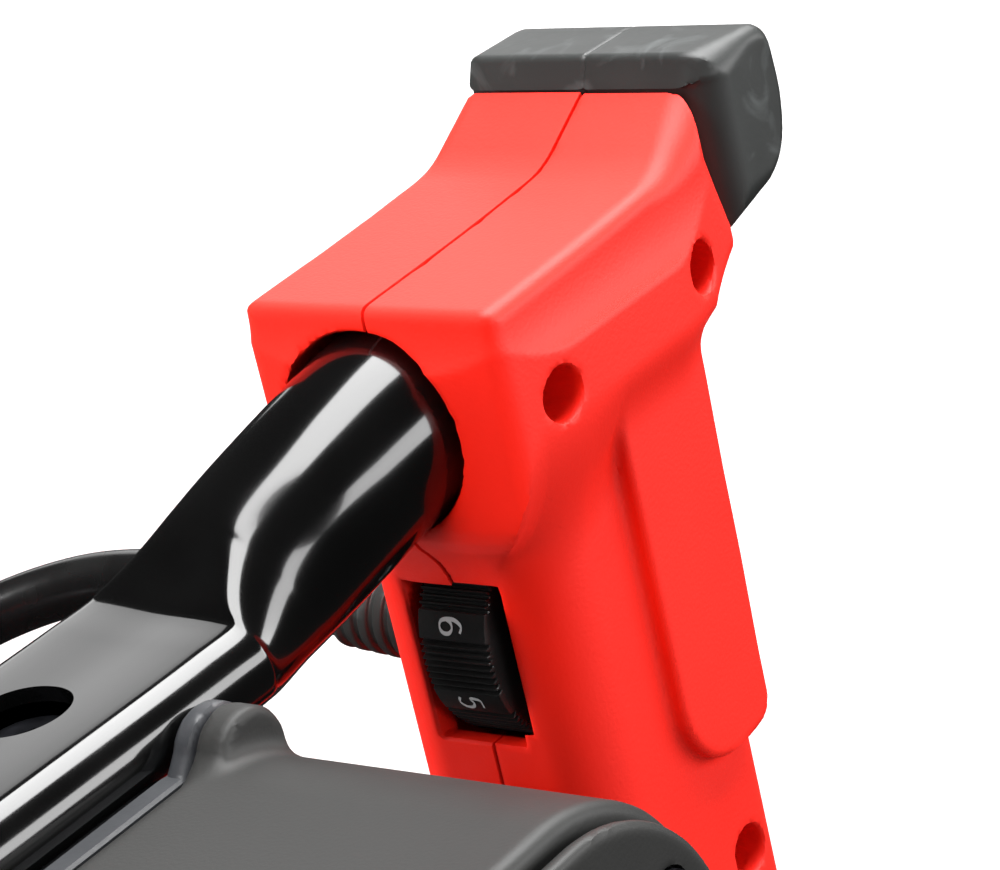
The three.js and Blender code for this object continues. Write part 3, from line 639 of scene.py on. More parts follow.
@dataclass
class Studio:
    """Pale floor, soft boxes, sky and the camera."""

    eye: tuple[float, float, float] = (212.83, 209.69, 394.54)
    back: tuple[float, float, float] = (0.36351, 0.71502, 0.59717)
    right: tuple[float, float, float] = (-0.21284, -0.56032, 0.80046)
    lens: float = 124.8
    aim: tuple[float, float, float] = (0.0, 0.0, 0.13)
    floor_size: float = 40.0
    floor_drop: float = 0.002
    sky_seen: float = 1.0
    sky_light: float = 0.3
    sky_in_gloss: float = 0.03
    boxes: tuple[SoftBox, ...] = (
        SoftBox("over_strip", (1.6, -0.5, 0.28), (1.0, 3.0), 125, True),
        SoftBox("side_strip", (0.3, -0.6, 1.5), (0.45, 2.6), 30, True),
        SoftBox("fill_box", (0.6, 1.3, 0.12), (0.5, 0.6), 9, False),
        SoftBox("low_card", (0.6, -1.1, -0.8), (1.0, 0.6), 3.2, True),
        SoftBox("table_card", (0.0, 0.25, -1.3), (1.2, 0.8), 44, False),
    )

    def build(self) -> None:
        """Sets the camera, the lamps, the sky and the floor."""
        self._camera()
        for box in self.boxes:
            box.hang(Vector(self.aim))
        self._sky()
        self._floor()

    def _camera(self) -> None:
        """Puts the camera at the eye, looking against back, with right across the frame."""
        data = bpy.data.cameras.new("camera")
        data.lens, data.sensor_width, data.clip_start, data.clip_end = self.lens, 36, 0.01, 50
        camera = bpy.data.objects.new("camera", data)
        back = Vector(self.back).normalized()
        right = (Vector(self.right) - back * Vector(self.right).dot(back)).normalized()
        turn = Matrix((right, back.cross(right), back)).transposed().to_4x4()
        camera.matrix_world = Matrix.Translation(Vector(self.eye) * MM) @ turn
        bpy.context.scene.collection.objects.link(camera)
        bpy.context.scene.camera = camera

    def _sky(self) -> None:
        """A sky that the camera sees as white, that lights softly and that gloss hardly shows."""
        world = bpy.data.worlds.new("studio_air")
        bpy.context.scene.world = world
        world.use_nodes = True
        tree = world.node_tree
        tree.nodes.clear()
        seen, around, dark = (
            add_node(tree, "ShaderNodeBackground", {"Color": (1, 1, 1, 1), "Strength": strength})
            for strength in (self.sky_seen, self.sky_light, self.sky_in_gloss)
        )
        path = add_node(tree, "ShaderNodeLightPath")
        spread = add_node(
            tree, "ShaderNodeMixShader", None, {0: (path, "Is Glossy Ray"), 1: (around, 0), 2: (dark, 0)}
        )
        both = add_node(
            tree, "ShaderNodeMixShader", None, {0: (path, "Is Camera Ray"), 1: (spread, 0), 2: (seen, 0)}
        )
        add_node(tree, "ShaderNodeOutputWorld", None, {"Surface": (both, 0)})
        view = bpy.context.scene.view_settings
        view.view_transform, view.look, view.exposure, view.gamma = "Standard", "None", 0.0, 1.0

    def _floor(self) -> None:
        """A pale floor just under the spindle."""
        half = self.floor_size / 2
        mesh = bpy.data.meshes.new("floor")
        z = CAD_BOX[0][2] - self.floor_drop
        corners = [(-half, -half, z), (half, -half, z), (half, half, z), (-half, half, z)]
        mesh.from_pydata(corners, [], [(0, 1, 2, 3)])
        floor = bpy.data.objects.new("floor", mesh)
        bpy.context.scene.collection.objects.link(floor)
        material = bpy.data.materials.new("pale_paper_sweep")
        material.use_nodes = True
        tree = material.node_tree
        tree.nodes.clear()
        where = add_node(tree, "ShaderNodeTexCoord")
        tooth = add_node(
            tree, "ShaderNodeTexNoise", {"Scale": 400.0, "Detail": 3.0}, {"Vector": (where, "Object")}
        )
        bump = add_node(
            tree, "ShaderNodeBump", {"Distance": 0.0002, "Strength": 0.3}, {"Height": (tooth, 0)}
        )
        shader = add_node(
            tree, "ShaderNodeBsdfPrincipled", {"Base Color": (0.93, 0.93, 0.93, 1), "Roughness": 0.9},
            {"Normal": (bump, 0)},
        )
        add_node(tree, "ShaderNodeOutputMaterial", None, {"Surface": (shader, 0)})
        mesh.materials.append(material)
        floor.visible_glossy = floor.visible_shadow = False


# ---------- cable ----------


@dataclass
class MotorCable:
    """The free cable from the switch handle to the motor, with the sleeves at its ends."""

    radius: float = 4.4
    loop_r: float = 35.9
    loop_z: float = -79.0
    leaves: tuple[float, float] = (18.0, -117.0)
    enters: tuple[float, float] = (0.0, -51.5)
    mains: tuple[float, float] = (-43.0, -110.5)
    sides: int = 48
    sleeve_sides: int = 96
    sleeve_gap: float = 0.25
    leans: float = 1.2  # how far the cable has bowed out at the top of its loop
    drop: tuple[float, float] = (-36.0, -58.0)
    start_z: float = -12.6
    end_z: float = 5.9
    ribs: int = 6
    first_rib: tuple[float, float] = (6.95, -23.2)
    next_rib: tuple[float, float] = (0.24, 2.9)

    def route(self) -> Array:
        """Works out the cable's way: down, half a circle, and up into the motor.

        Returns:
            The route's points in mm, one row each.
        """
        start, end = np.array(self.leaves), np.array(self.enters)
        span = np.linalg.norm(end - start)
        turn = np.linspace(0, np.pi, 9)
        along = np.concatenate(
            [[0, 0, -self.leans], span / 2 - self.loop_r * np.cos(turn), [span + self.leans, span, span]]
        )
        upper, lower = self.drop
        bow = self.loop_z - self.loop_r * np.sin(turn)
        height = np.concatenate([[self.start_z, upper, lower], bow, [lower, upper, self.end_z]])
        flat = start + (end - start) * (along / span)[:, None]
        return np.column_stack([flat, height])

    def build(self) -> None:
        self._sleeves()
        points = self.route()
        line = smooth_path(points, 260)
        cable = place("motor_cable_sheath", tube_skin(line, self.radius, self.sides), Finishes.CABLE_PVC,
                      "frame", "motor_cable", "black_plastic")

    def _sleeves(self) -> None:
        """Turned rubber sleeves: ribbed boot, motor grommet and the mains inlet's nut."""
        bore, sides = self.radius + self.sleeve_gap, self.sleeve_sides
        boot = [(bore, -10.3), (7, -10.3), (7, -11.9), (5.9, -11.9), (5.9, -19.5), (7.6, -19.5, 0.5),
                (7.6, -21.5, 0.5), (7.0, -22.3, 0.4)]
        for rib in range(self.ribs):
            z = self.first_rib[1] - rib * self.next_rib[1]
            r = self.first_rib[0] - rib * self.next_rib[0]
            boot += [(r, z, 0.3), (r - 0.1, z - 1.6, 0.3), (r - 0.75, z - 1.75, 0.2),
                     (r - 0.8, z - 2.75, 0.2)]
        boot += [(5.5, -41.0, 0.3), (5.3, -42, 0.4), (bore, -42), (bore, -10.3)]
        place("handle_cable_sleeve", turned(eased(boot), sides, self.leaves), Finishes.RUBBER, "frame",
              "handle_cable_boot", "black_rubber")
        grommet = [(bore, -22), (5.4, -22, 0.4), (7.4, -3, 0.2), (7.8, -3, 0.3), (7.8, 2.85, 0.3),
                   (6, 2.85), (6, 6.1), (bore, 6.1), (bore, -22)]
        place("motor_cable_sleeve", turned(eased(grommet), sides, self.enters), Finishes.RUBBER, "frame",
              "motor_cable_grommet", "black_rubber")
        inlet = [(0, -15), (3.9, -15), (3.9, -24), (5.4, -24, 0.4), (6, -23.4, 0.3), (6.3, -21, 0.2),
                 (7.4, -21, 0.5), (7.4, -16.4, 0.3), (5.5, -16.4), (5.5, -11), (0, -11)]
        place("mains_inlet_nut", turned(eased(inlet), sides, self.mains), Finishes.BLACK_ACETAL, "frame",
              "mains_gland", "black_rubber")


def smooth_path(points: Array, count: int) -> Array:
    """A centripetal Catmull-Rom curve through points, in count nearly even steps.

    The knots are spaced by the square root of the distance between points, and each piece is the curve's
    usual triple blend of its four nearest points.

    Args:
        points: the points it passes, one row each.
        count: points asked for.

    Returns:
        The curve's points, one row each.
    """
    ends = np.vstack([2 * points[0] - points[1], points, 2 * points[-1] - points[-2]])
    knots = np.concatenate([[0], np.cumsum(np.sqrt(np.linalg.norm(np.diff(ends, axis=0), axis=1)))])
    t = np.linspace(knots[1], knots[-2], 12 * count)[:, None]
    i = np.clip(np.searchsorted(knots, t[:, 0], "right") - 1, 1, len(points) - 1)
    k = [knots[i + j][:, None] for j in (-1, 0, 1, 2)]
    p = [ends[i + j] for j in (-1, 0, 1, 2)]
    a = [((k[j + 1] - t) * p[j] + (t - k[j]) * p[j + 1]) / (k[j + 1] - k[j]) for j in range(3)]
    b = [((k[j + 2] - t) * a[j] + (t - k[j]) * a[j + 1]) / (k[j + 2] - k[j]) for j in range(2)]
    curve = ((k[2] - t) * b[0] + (t - k[1]) * b[1]) / (k[2] - k[1])
    reach = np.concatenate([[0], np.cumsum(np.linalg.norm(np.diff(curve, axis=0), axis=1))])
    even = np.linspace(0, reach[-1], count)
    return np.stack([np.interp(even, reach, curve[:, j]) for j in range(3)], -1)


def frames(line: Array, up: Sequence[float]) -> tuple[Array, Array]:
    """Finds two unit sides of a line at each point, by cross products with its direction.

    Args:
        line: its points, one row each.
        up: a direction that the line never takes.

    Returns:
        The side square to the line and to up, and the side square to the line and the first one.
    """
    along = np.gradient(line, axis=0)
    along /= np.linalg.norm(along, axis=1, keepdims=True)
    across = np.cross(along, up)
    across /= np.linalg.norm(across, axis=1, keepdims=True)
    return across, np.cross(across, along)


def tube_skin(line: Array, radius: float, sides: int) -> Shape:
    """Carries a circle along a line that stays in an upright plane, and closes each end to a point.

    Args:
        line: its points, one row each.
        radius: the bar's, in mm.
        sides: points in a ring.

    Returns:
        The bar's surface.
    """
    chord = line[-1] - line[0]
    flat = np.cross(chord, (0, 0, 1))
    across, normal = frames(line, flat / np.linalg.norm(flat))
    angle = np.linspace(0, 2 * np.pi, sides, endpoint=False)
    ring = np.cos(angle)[None, :, None] * across[:, None] + np.sin(angle)[None, :, None] * normal[:, None]
    body = line[:, None] + radius * ring
    cap = np.repeat(line[[0, -1]][:, None], sides, 1)
    rows = np.concatenate([cap[:1], body, cap[1:]])
    return rows.reshape(-1, 3), sheet_quads(len(rows), sides)


# ---------- tubes ----------


@dataclass
class FrameTube:
    """One of the two bent tubes that carry the grips: round at its ends and pressed flat in the middle."""

    side: str
    sign: int
    radius: float = 12.5
    wall: float = 2.0
    flat_half: float = 6.0
    crease: float = 55.0  # distance from the middle where the press ends
    spring: float = 19.0  # length over which the tube is round again
    web_sharp: float = 3.2
    dip_at: float = 0.3
    dip_run: float = 0.24
    dip_deep: float = 2.2
    dip_wide: float = 6.5
    dip_most: float = 0.6
    flat_x: float = 46.4
    flat_z: float = -13.5
    hole_r: float = 6.2
    bolt_y: float = 29.5
    hole_z: float = -14.0
    plug_long: float = 12.0
    plug_sides: int = 72
    sides: int = 96
    steps: int = 420
    sharp: float = 24.0

    def route(self) -> Array:
        """Lays out the bent middle line.

        Returns:
            Its points in mm, one row each.
        """
        half = np.array([[62, -116, -1.4], [62, -103, -1.4], [61.5, -91, -2], [58.3, -81, -4.2],
                         [50.5, -66.5, -10.6], [47, -57, -12.9], [self.flat_x, -47, self.flat_z]])
        middle = np.array([[self.flat_x, y, self.flat_z] for y in (-20, 0, 20)])
        return np.vstack([half, middle, (half * [1, -1, 1])[::-1]])

    def skin(self, line: Array, grow: float) -> Array:
        """Carries the pressed section along the line.

        The half thickness falls from the tube's radius to the flat's, quickly at the crease and gently at
        the round end. A straight web opens the section sideways so that its girth stays the same, and the
        web dips in the middle where the press has only begun.

        Args:
            line: the middle line.
            grow: how far outside the tube's surface the skin lies, in mm.

        Returns:
            One ring of points for each point of the line.
        """
        across, normal = frames(line, (1, 0, 0))
        run = np.clip((np.abs(line[:, 1]) - self.crease) / self.spring, 0, 1)
        share = (run * (2 - run))[:, None]
        thin = self.flat_half + (self.radius - self.flat_half) * share
        web = np.pi * (self.radius - thin) / 2
        angle = (np.arange(self.sides) + 0.5) / self.sides * 2 * np.pi
        wide = np.cos(angle) * (thin + grow) + np.clip(np.cos(angle) * self.web_sharp, -1, 1) * web
        high = np.sin(angle) * (thin + grow)
        dip = np.exp(-(((run - self.dip_at) / self.dip_run) ** 2))[:, None]
        dip = dip * self.dip_deep * np.exp(-((wide / self.dip_wide) ** 2))
        high = high - np.where(np.sin(angle) > 0, 1, -1) * np.minimum(dip, np.abs(high) * self.dip_most)
        rings = line[:, None] + wide[..., None] * across[:, None] + high[..., None] * normal[:, None]
        return rings * np.array([self.sign, 1, 1])

    def build(self) -> None:
        """Skins the outside and the bore as one closed shell, and drills the access holes."""
        line = smooth_path(self.route(), self.steps)
        outer, inner = self.skin(line, 0), self.skin(line, -self.wall)[::-1]
        rows = np.concatenate([outer, inner, outer[:1]])
        vertices = rows[:-1].reshape(-1, 3)
        quads = sheet_quads(len(rows), self.sides) % len(vertices)
        if self.sign > 0:
            quads = quads[:, ::-1]
        tube = place(f"{self.side}_pressed_tube", (vertices, quads), Finishes.TUBE_PAINT, "frame",
                     f"{self.side}_tube", "gloss_black_paint", sharp=self.sharp)
        for y in (-self.bolt_y, self.bolt_y):
            self._drill(tube, y)

    def _drill(self, tube: bpy.types.Object, y: float) -> None:
        """Cuts one access hole through the outer wall, by a round plug as a boolean cutter.

        Args:
            tube: the tube's object.
            y: the hole's place along the flat.
        """
        long = self.plug_long
        plug, quads = turned([(0, 0), (self.hole_r, 0), (self.hole_r, long), (0, long)], self.plug_sides)
        lying = np.column_stack([self.flat_x + plug[:, 2], plug[:, 0] + y, plug[:, 1] + self.hole_z])
        lying[:, 0] *= self.sign
        cutter = put_mesh("plug", lying, quads if self.sign > 0 else quads[:, ::-1])
        modifier = tube.modifiers.new("hole", "BOOLEAN")
        modifier.operation, modifier.object, modifier.solver = "DIFFERENCE", cutter, "EXACT"
        graph = bpy.context.evaluated_depsgraph_get()
        done = bpy.data.meshes.new_from_object(tube.evaluated_get(graph))
        tube.modifiers.clear()
        old = tube.data
        tube.data = done
        bpy.data.meshes.remove(old)
        done.shade_smooth()
        done.set_sharp_from_angle(angle=np.radians(self.sharp))
        mesh = cutter.data
        bpy.data.objects.remove(cutter)
        bpy.data.meshes.remove(mesh)


# ---------- grips ----------


@dataclass
class Grip:
    """A handle: two red shells with their heads, palm pad and recesses, and two rubber bumpers."""

    name: str
    sign: int
    fine: float
    switched: bool
    head_half: float = 19.5
    grip_half: float = 16.5
    grip_edge: float = 8.5
    bore: tuple[float, float, float] = (61.4, -2.0, 13.5)
    bore_end: float = -118.0
    corner: float = 14.0
    corner_behind: float = 2.5
    bar: tuple[float, float] = (-109.1, 17.6)
    bar_end: float = 64.0
    bar_join: float = 13.0
    pad_join: float = 1.4
    lower_proud: float = 0.1
    seam_half: float = 0.2
    carve_edge: float = 0.6
    block_half: float = 19.8
    screw_r: float = 3.55
    screw_depth: float = 4.2
    post_r: float = 5.2
    screws: tuple = ((63.8, -95.5), (66.2, -129.5), (-14, -118.6), (-63.8, -95.5), (-66.2, -129.5))
    dial: tuple[float, float, float] = (28.0, -105.2, 17.1)
    head: Array = field(default_factory=lambda: rounded([
        (86.4, -139.4, 0.6), (80.0, -127.6, 3.5), (78.7, -110, 10), (77.8, -86.8, 1.6), (45, -86.8, 6),
        (59, -107.8, 6), (52, -127.4, 6), (57.5, -129.6, 5), (65, -140.1, 1.2)]))
    pad: Array = field(default_factory=lambda: rounded([
        (64, -107.8), (7, -107.8, 6), (2, -115, 4), (3, -126.6, 4), (64, -128)]))
    block: Array = field(default_factory=lambda: rounded([
        (90.7, -141.6, 0.8), (86.6, -139.6), (86.4, -140.4), (65.2, -140.4, 0.8), (71.5, -154.4, 4),
        (79, -157, 4), (90.7, -156.2, 4.5)]))

    def body(self, x: Array, y: Array, z: Array) -> Array:
        """Runs the head plate, the rounded grip bar and the raised palm pad into each other.

        The head's lower corners are round under the boss, and that round fades out behind it.

        Args:
            x, y, z: places in mm.

        Returns:
            Distance to the handle's outside in mm, negative inside.
        """
        u = np.abs(x)
        edge = 2.2 + 3.8 * np.clip((-122 - y) / 16, 0, 1) * np.clip((u - 68) / 10, 0, 1) * (z > 0)
        head = slab(outline_distance(u, y, self.head), z, self.head_half, edge)
        corner = self.corner - (self.corner - self.corner_behind) * np.clip((-91 - y) / 17, 0, 1)
        below = 45 + np.clip(-87 - y, 0, 21) * 0.67 - u + corner
        beside = np.abs(z) - self.head_half + corner
        under = np.hypot(np.maximum(below, 0), np.maximum(beside, 0)) - corner
        head = np.maximum(head, np.where(below > 0, under, head))
        middle, half = self.bar
        soft = np.where(y > middle, self.grip_edge, self.grip_edge - 3.5)
        v, w = np.abs(y - middle) - half + soft, np.abs(z) - self.grip_half + soft
        bar = np.hypot(np.maximum(v, 0), np.maximum(w, 0)) + np.minimum(np.maximum(v, w), 0) - soft
        bar = np.maximum(bar, u - self.bar_end)
        whole = blend(head, bar, self.bar_join)
        pad = slab(outline_distance(x, y, self.pad), z, self.head_half - 0.4, 1.0)
        return blend(whole, pad, self.pad_join)

    def hollows(self, x: Array, y: Array, z: Array) -> Array:
        """Joins the tube bore, the hollow, the screw recesses and, with a switch, its openings.

        Args:
            x, y, z: places in mm.

        Returns:
            Distance to what is taken out in mm, negative inside.
        """
        u = np.abs(x)
        bx, bz, br = self.bore
        bore = np.maximum(rod(u, z, (bx, bz), br), self.bore_end - y)
        cavity = brick(x, y, z, (-42, -122.5, -12.3), (45, -95, 12.3), 2)
        cavity = np.maximum(cavity, -rod(x, y, self.screws[2], self.post_r))
        taken = np.minimum(bore, cavity)
        for at in self.screws:
            taken = np.minimum(taken, np.maximum(rod(x, y, at, self.screw_r), self.screw_depth - z))
        if self.switched:
            dx, dy, dr = self.dial
            taken = np.minimum(taken, brick(x, y, z, (15.2, -99, -8.3), (34.8, -60, 5.4), 0.6))
            taken = np.minimum(taken, np.maximum(rod(x, y, (dx, dy), dr), np.abs(z + 0.65) - 7.6))
            taken = np.minimum(taken, brick(x, y, z, (-39.5, -99, -7), (8.5, -60, 7), 1.0))
            for at, r in (((-25, -113), 4.95), ((18, -117), 6.2), ((-43, -110.5), 5.8)):
                taken = np.minimum(taken, np.maximum(rod(x, y, at, r), z + 9))
        return taken

    def shell(self, upper: bool) -> Field:
        """Cuts the hollow handle at its seam, with a narrow gap.

        Args:
            upper: whether it is the upper shell.

        Returns:
            The shell's field.
        """

        def shape(x: Array, y: Array, z: Array) -> Array:
            """Distance to the shell; the lower one stands a little proud."""
            proud = 0.0 if upper else self.lower_proud
            whole = carve(self.body(x, y, z) - proud, self.hollows(x, y, z), self.carve_edge)
            return np.maximum(whole, self.seam_half - z if upper else z + self.seam_half)

        return shape

    def bumper(self, x: Array, y: Array, z: Array) -> Array:
        """A rubber block with soft corners and a shallow mould line round its middle.

        Args:
            x, y, z: places in mm.

        Returns:
            Distance in mm, negative inside.
        """
        edge = 2.2 + 3.4 * np.clip((y + 150) / 9, 0, 1) * (z > 0)
        core = slab(outline_distance(x, y, self.block), z, self.block_half, edge)
        return carve(core, np.hypot(core, z) - 0.22, 0.3)

    def build(self) -> None:
        """Makes the shells and bumpers of both ends."""
        for upper, word in ((True, "upper"), (False, "lower")):
            low, high = (0, 20) if upper else (-20, 0)
            skin = Skin((-88, -142, low), (88, -85, high), self.fine).wrap(self.shell(upper))
            skin = mirrored(skin, 1) if self.sign > 0 else skin
            place(f"{self.name}_{word}_moulding", skin, Finishes.RED_ABS, "frame",
                  f"{self.name}_{word}_shell", "red_abs", sharp=SKIN_SHARP)
        block = Skin((64, -158, -20), (92, -139, 20), max(0.5, self.fine * 0.85)).wrap(self.bumper)
        block = mirrored(block, 1) if self.sign > 0 else block
        for end, word in ((1, "front"), (-1, "rear")):
            place(f"{self.name}_{word}_buffer", block if end > 0 else mirrored(block, 0),
                  Finishes.RUBBER, "frame", f"{self.name}_{word}_bumper", "black_rubber", sharp=SKIN_SHARP)


# ---------- controls ----------


# The numbers' strokes in mm, each a few points, in a cell 2.6 wide and 4.2 high before it is scaled.
STROKES = {
    1: [[(-0.7, 1.5), (0.05, 2.1), (0.05, 0), (0.05, -2.1)], [(-0.7, -2.1), (0.8, -2.1)]],
    2: [[(-1.1, 1.1), (-0.6, 2.0), (0.6, 2.0), (1.1, 1.0), (0.3, -0.6), (-1.1, -2.0)],
        [(-1.1, -2.05), (1.2, -2.05)]],
    3: [[(-1.0, 1.5), (0, 2.1), (1.0, 1.4), (0.7, 0.4), (-0.2, 0.15), (0.9, -0.2), (1.1, -1.2),
         (0.1, -2.1), (-1.1, -1.6)]],
    4: [[(0.5, -2.1), (0.5, 2.1)], [(0.5, 2.1), (-1.3, -0.8), (1.3, -0.8)]],
    5: [[(1.0, 2.05), (-0.7, 2.05), (-0.9, 0.3), (0.1, 0.6), (1.0, -0.1), (1.0, -1.3), (0.1, -2.1),
         (-1.1, -1.6)]],
    6: [[(0.9, 1.7), (-0.1, 2.0), (-1.0, 0.9), (-1.15, -0.6), (-0.8, -1.8), (0.1, -2.1), (1.0, -1.5),
         (1.05, -0.4), (0.3, 0.25), (-0.6, 0.0), (-1.05, -0.7)]],
    7: [[(-1.1, 2.0), (1.2, 2.0)], [(1.2, 2.0), (0.1, 0.0), (-0.3, -2.1)]],
    8: [[(0.1, 0.15), (-0.9, 0.8), (-0.7, 1.9), (0.1, 2.1), (0.8, 1.8), (0.8, 0.9), (-0.5, 0.1),
         (-1.1, -0.9), (-0.8, -1.9), (0.1, -2.1), (1.0, -1.7), (1.0, -0.8), (0.1, 0.15)]],
    9: [[(-0.9, -1.7), (0.1, -2.0), (1.0, -0.9), (1.15, 0.6), (0.8, 1.8), (-0.1, 2.1), (-1.0, 1.5),
         (-1.05, 0.4), (-0.3, -0.25), (0.6, 0.0), (1.05, 0.7)]],
}


@dataclass
class Controls:
    """Thumbwheel, trigger and lock button of the switch handle."""

    at: tuple[float, float] = (28.0, -105.2)
    lift: float = -0.7
    r: float = 16.2
    half: float = 5.4
    six: float = 18.0
    pads: int = 9
    ribs: int = 8
    pad_half: float = 6.4
    depth: float = 0.75
    mark_scale: float = 0.84
    mark_proud: float = 0.06
    mark_thin: float = 0.13
    mark_swell: float = 0.2
    mark_steps: int = 40
    lock: tuple[float, float] = (-25.0, -113.0)
    lever: Array = field(default_factory=lambda: rounded([
        (-38.3, -97, 3), (-38.3, -102.5, 2.5), (-31, -103.5, 1), (5, -101.5, 1.5), (7.3, -96, 1),
        (6.3, -86, 5), (-4, -83.6, 6), (-22, -85.6, 6), (-33.8, -91, 3)]))

    def build(self) -> None:
        """Makes the three controls and the wheel's numbers."""
        place("thumbwheel", self._wheel(), Finishes.BLACK_ACETAL, "dial", "speed_dial", "black_plastic",
              sharp=30)
        for digit in range(1, self.pads + 1):
            place(f"thumbwheel_mark_{digit}", self._mark(digit), Finishes.PRINT, "dial",
                  slot="grey_plastic")
        lever = Skin((-39, -104, -7), (8, -83, 7), 0.42).wrap(
            lambda x, y, z: slab(outline_distance(x, y, self.lever), z, 6.4, 1.3))
        place("trigger_lever", lever, Finishes.BLACK_ACETAL, "trigger", "trigger", "black_plastic")
        cap = [(0, -19.6), (3.9, -19.6, 0.6), (4.6, -18.9, 0.5), (4.6, -16.6), (3.2, -16.6), (3.2, -11.9),
               (4.4, -11.9), (4.4, -10.9), (0, -10.9)]
        place("lock_button_cap", turned(eased(cap), 64, self.lock), Finishes.BLACK_ACETAL, "lock_button",
              "lock_button", "black_plastic")

    def _wheel(self) -> tuple[Array, Array]:
        """Turns the wheel. Its rim's radius falls in rounded grooves between ribs, and is full at the pads.

        Returns:
            The wheel's surface.
        """
        pitch = 360 / self.pads
        angle = np.arange(0, 360, 0.5)
        offset = (angle - (90 - self.six) + pitch / 2) % pitch - pitch / 2
        past = np.abs(offset) - self.pad_half
        rib = (pitch / 2 - self.pad_half) * 2 / self.ribs
        wave = 0.5 - 0.5 * np.cos(2 * np.pi * past / rib)
        groove = self.depth * np.clip(wave * 1.5 - 0.15, 0, 1) * (past > 0)
        rows = [(0, -1, 0), (4, -1, 0), (4, -self.half, 0), (self.r - 1.4, -self.half, 0),
                (self.r - 0.5, -self.half + 0.02, 0.6), (self.r - 0.1, -self.half + 0.15, 0.9),
                (self.r, -self.half + 0.4, 1), (self.r, self.half - 0.4, 1),
                (self.r - 0.1, self.half - 0.15, 0.9),
                (self.r - 0.5, self.half - 0.02, 0.6), (self.r - 1.4, self.half, 0), (11, self.half, 0),
                (11, self.half - 2, 0), (4, self.half - 2, 0), (4, self.half, 0), (0, self.half, 0)]
        rows = np.array(rows)
        radius = rows[:, :1] - rows[:, 2:] * groove[None]
        turn = np.radians(angle)
        x, y = self.at[0] + radius * np.cos(turn), self.at[1] + radius * np.sin(turn)
        z = np.broadcast_to(rows[:, 1:2] + self.lift, x.shape)
        return np.stack([x, y, z], -1).reshape(-1, 3), sheet_quads(len(rows), len(angle))

    def _mark(self, digit: int) -> tuple[Array, Array]:
        """Lays one number on its pad as open ribbons, with its top towards +Z.

        Each stroke is a smooth curve, thick where it runs upright and thin where it runs level, and is
        wrapped round the wheel by turning its width into an angle.

        Args:
            digit: the number.

        Returns:
            The ribbons' surface.
        """
        strokes = STROKES[digit]
        flat, quads, start = [], [], 0
        for stroke in strokes:
            points = np.column_stack([np.array(stroke), np.zeros(len(stroke))])
            if len(stroke) > 2:
                line = smooth_path(points, self.mark_steps)
            else:
                line = np.linspace(points[0], points[1], self.mark_steps)
            along = np.gradient(line[:, :2], axis=0)
            along /= np.linalg.norm(along, axis=1, keepdims=True)
            half = (self.mark_thin + self.mark_swell * np.abs(along[:, 1]))[:, None]
            side = np.column_stack([-along[:, 1], along[:, 0]]) * half
            ribbon = np.stack([line[:, :2] - side, line[:, :2] + side], 1)
            flat.append(ribbon.reshape(-1, 2))
            quads.append(start + sheet_quads(len(line), 2, closed=False))
            start += 2 * len(line)
        flat = np.concatenate(flat) * self.mark_scale
        base = np.radians(90 - self.six) + (6 - digit) * 2 * np.pi / self.pads  # six is the pad shown
        turn = base + flat[:, 0] / self.r
        reach = self.r + self.mark_proud
        x, y = self.at[0] + reach * np.cos(turn), self.at[1] + reach * np.sin(turn)
        return np.column_stack([x, y, flat[:, 1] + self.lift]), np.concatenate(quads)[:, ::-1]


# ---------- motor and gearbox ----------


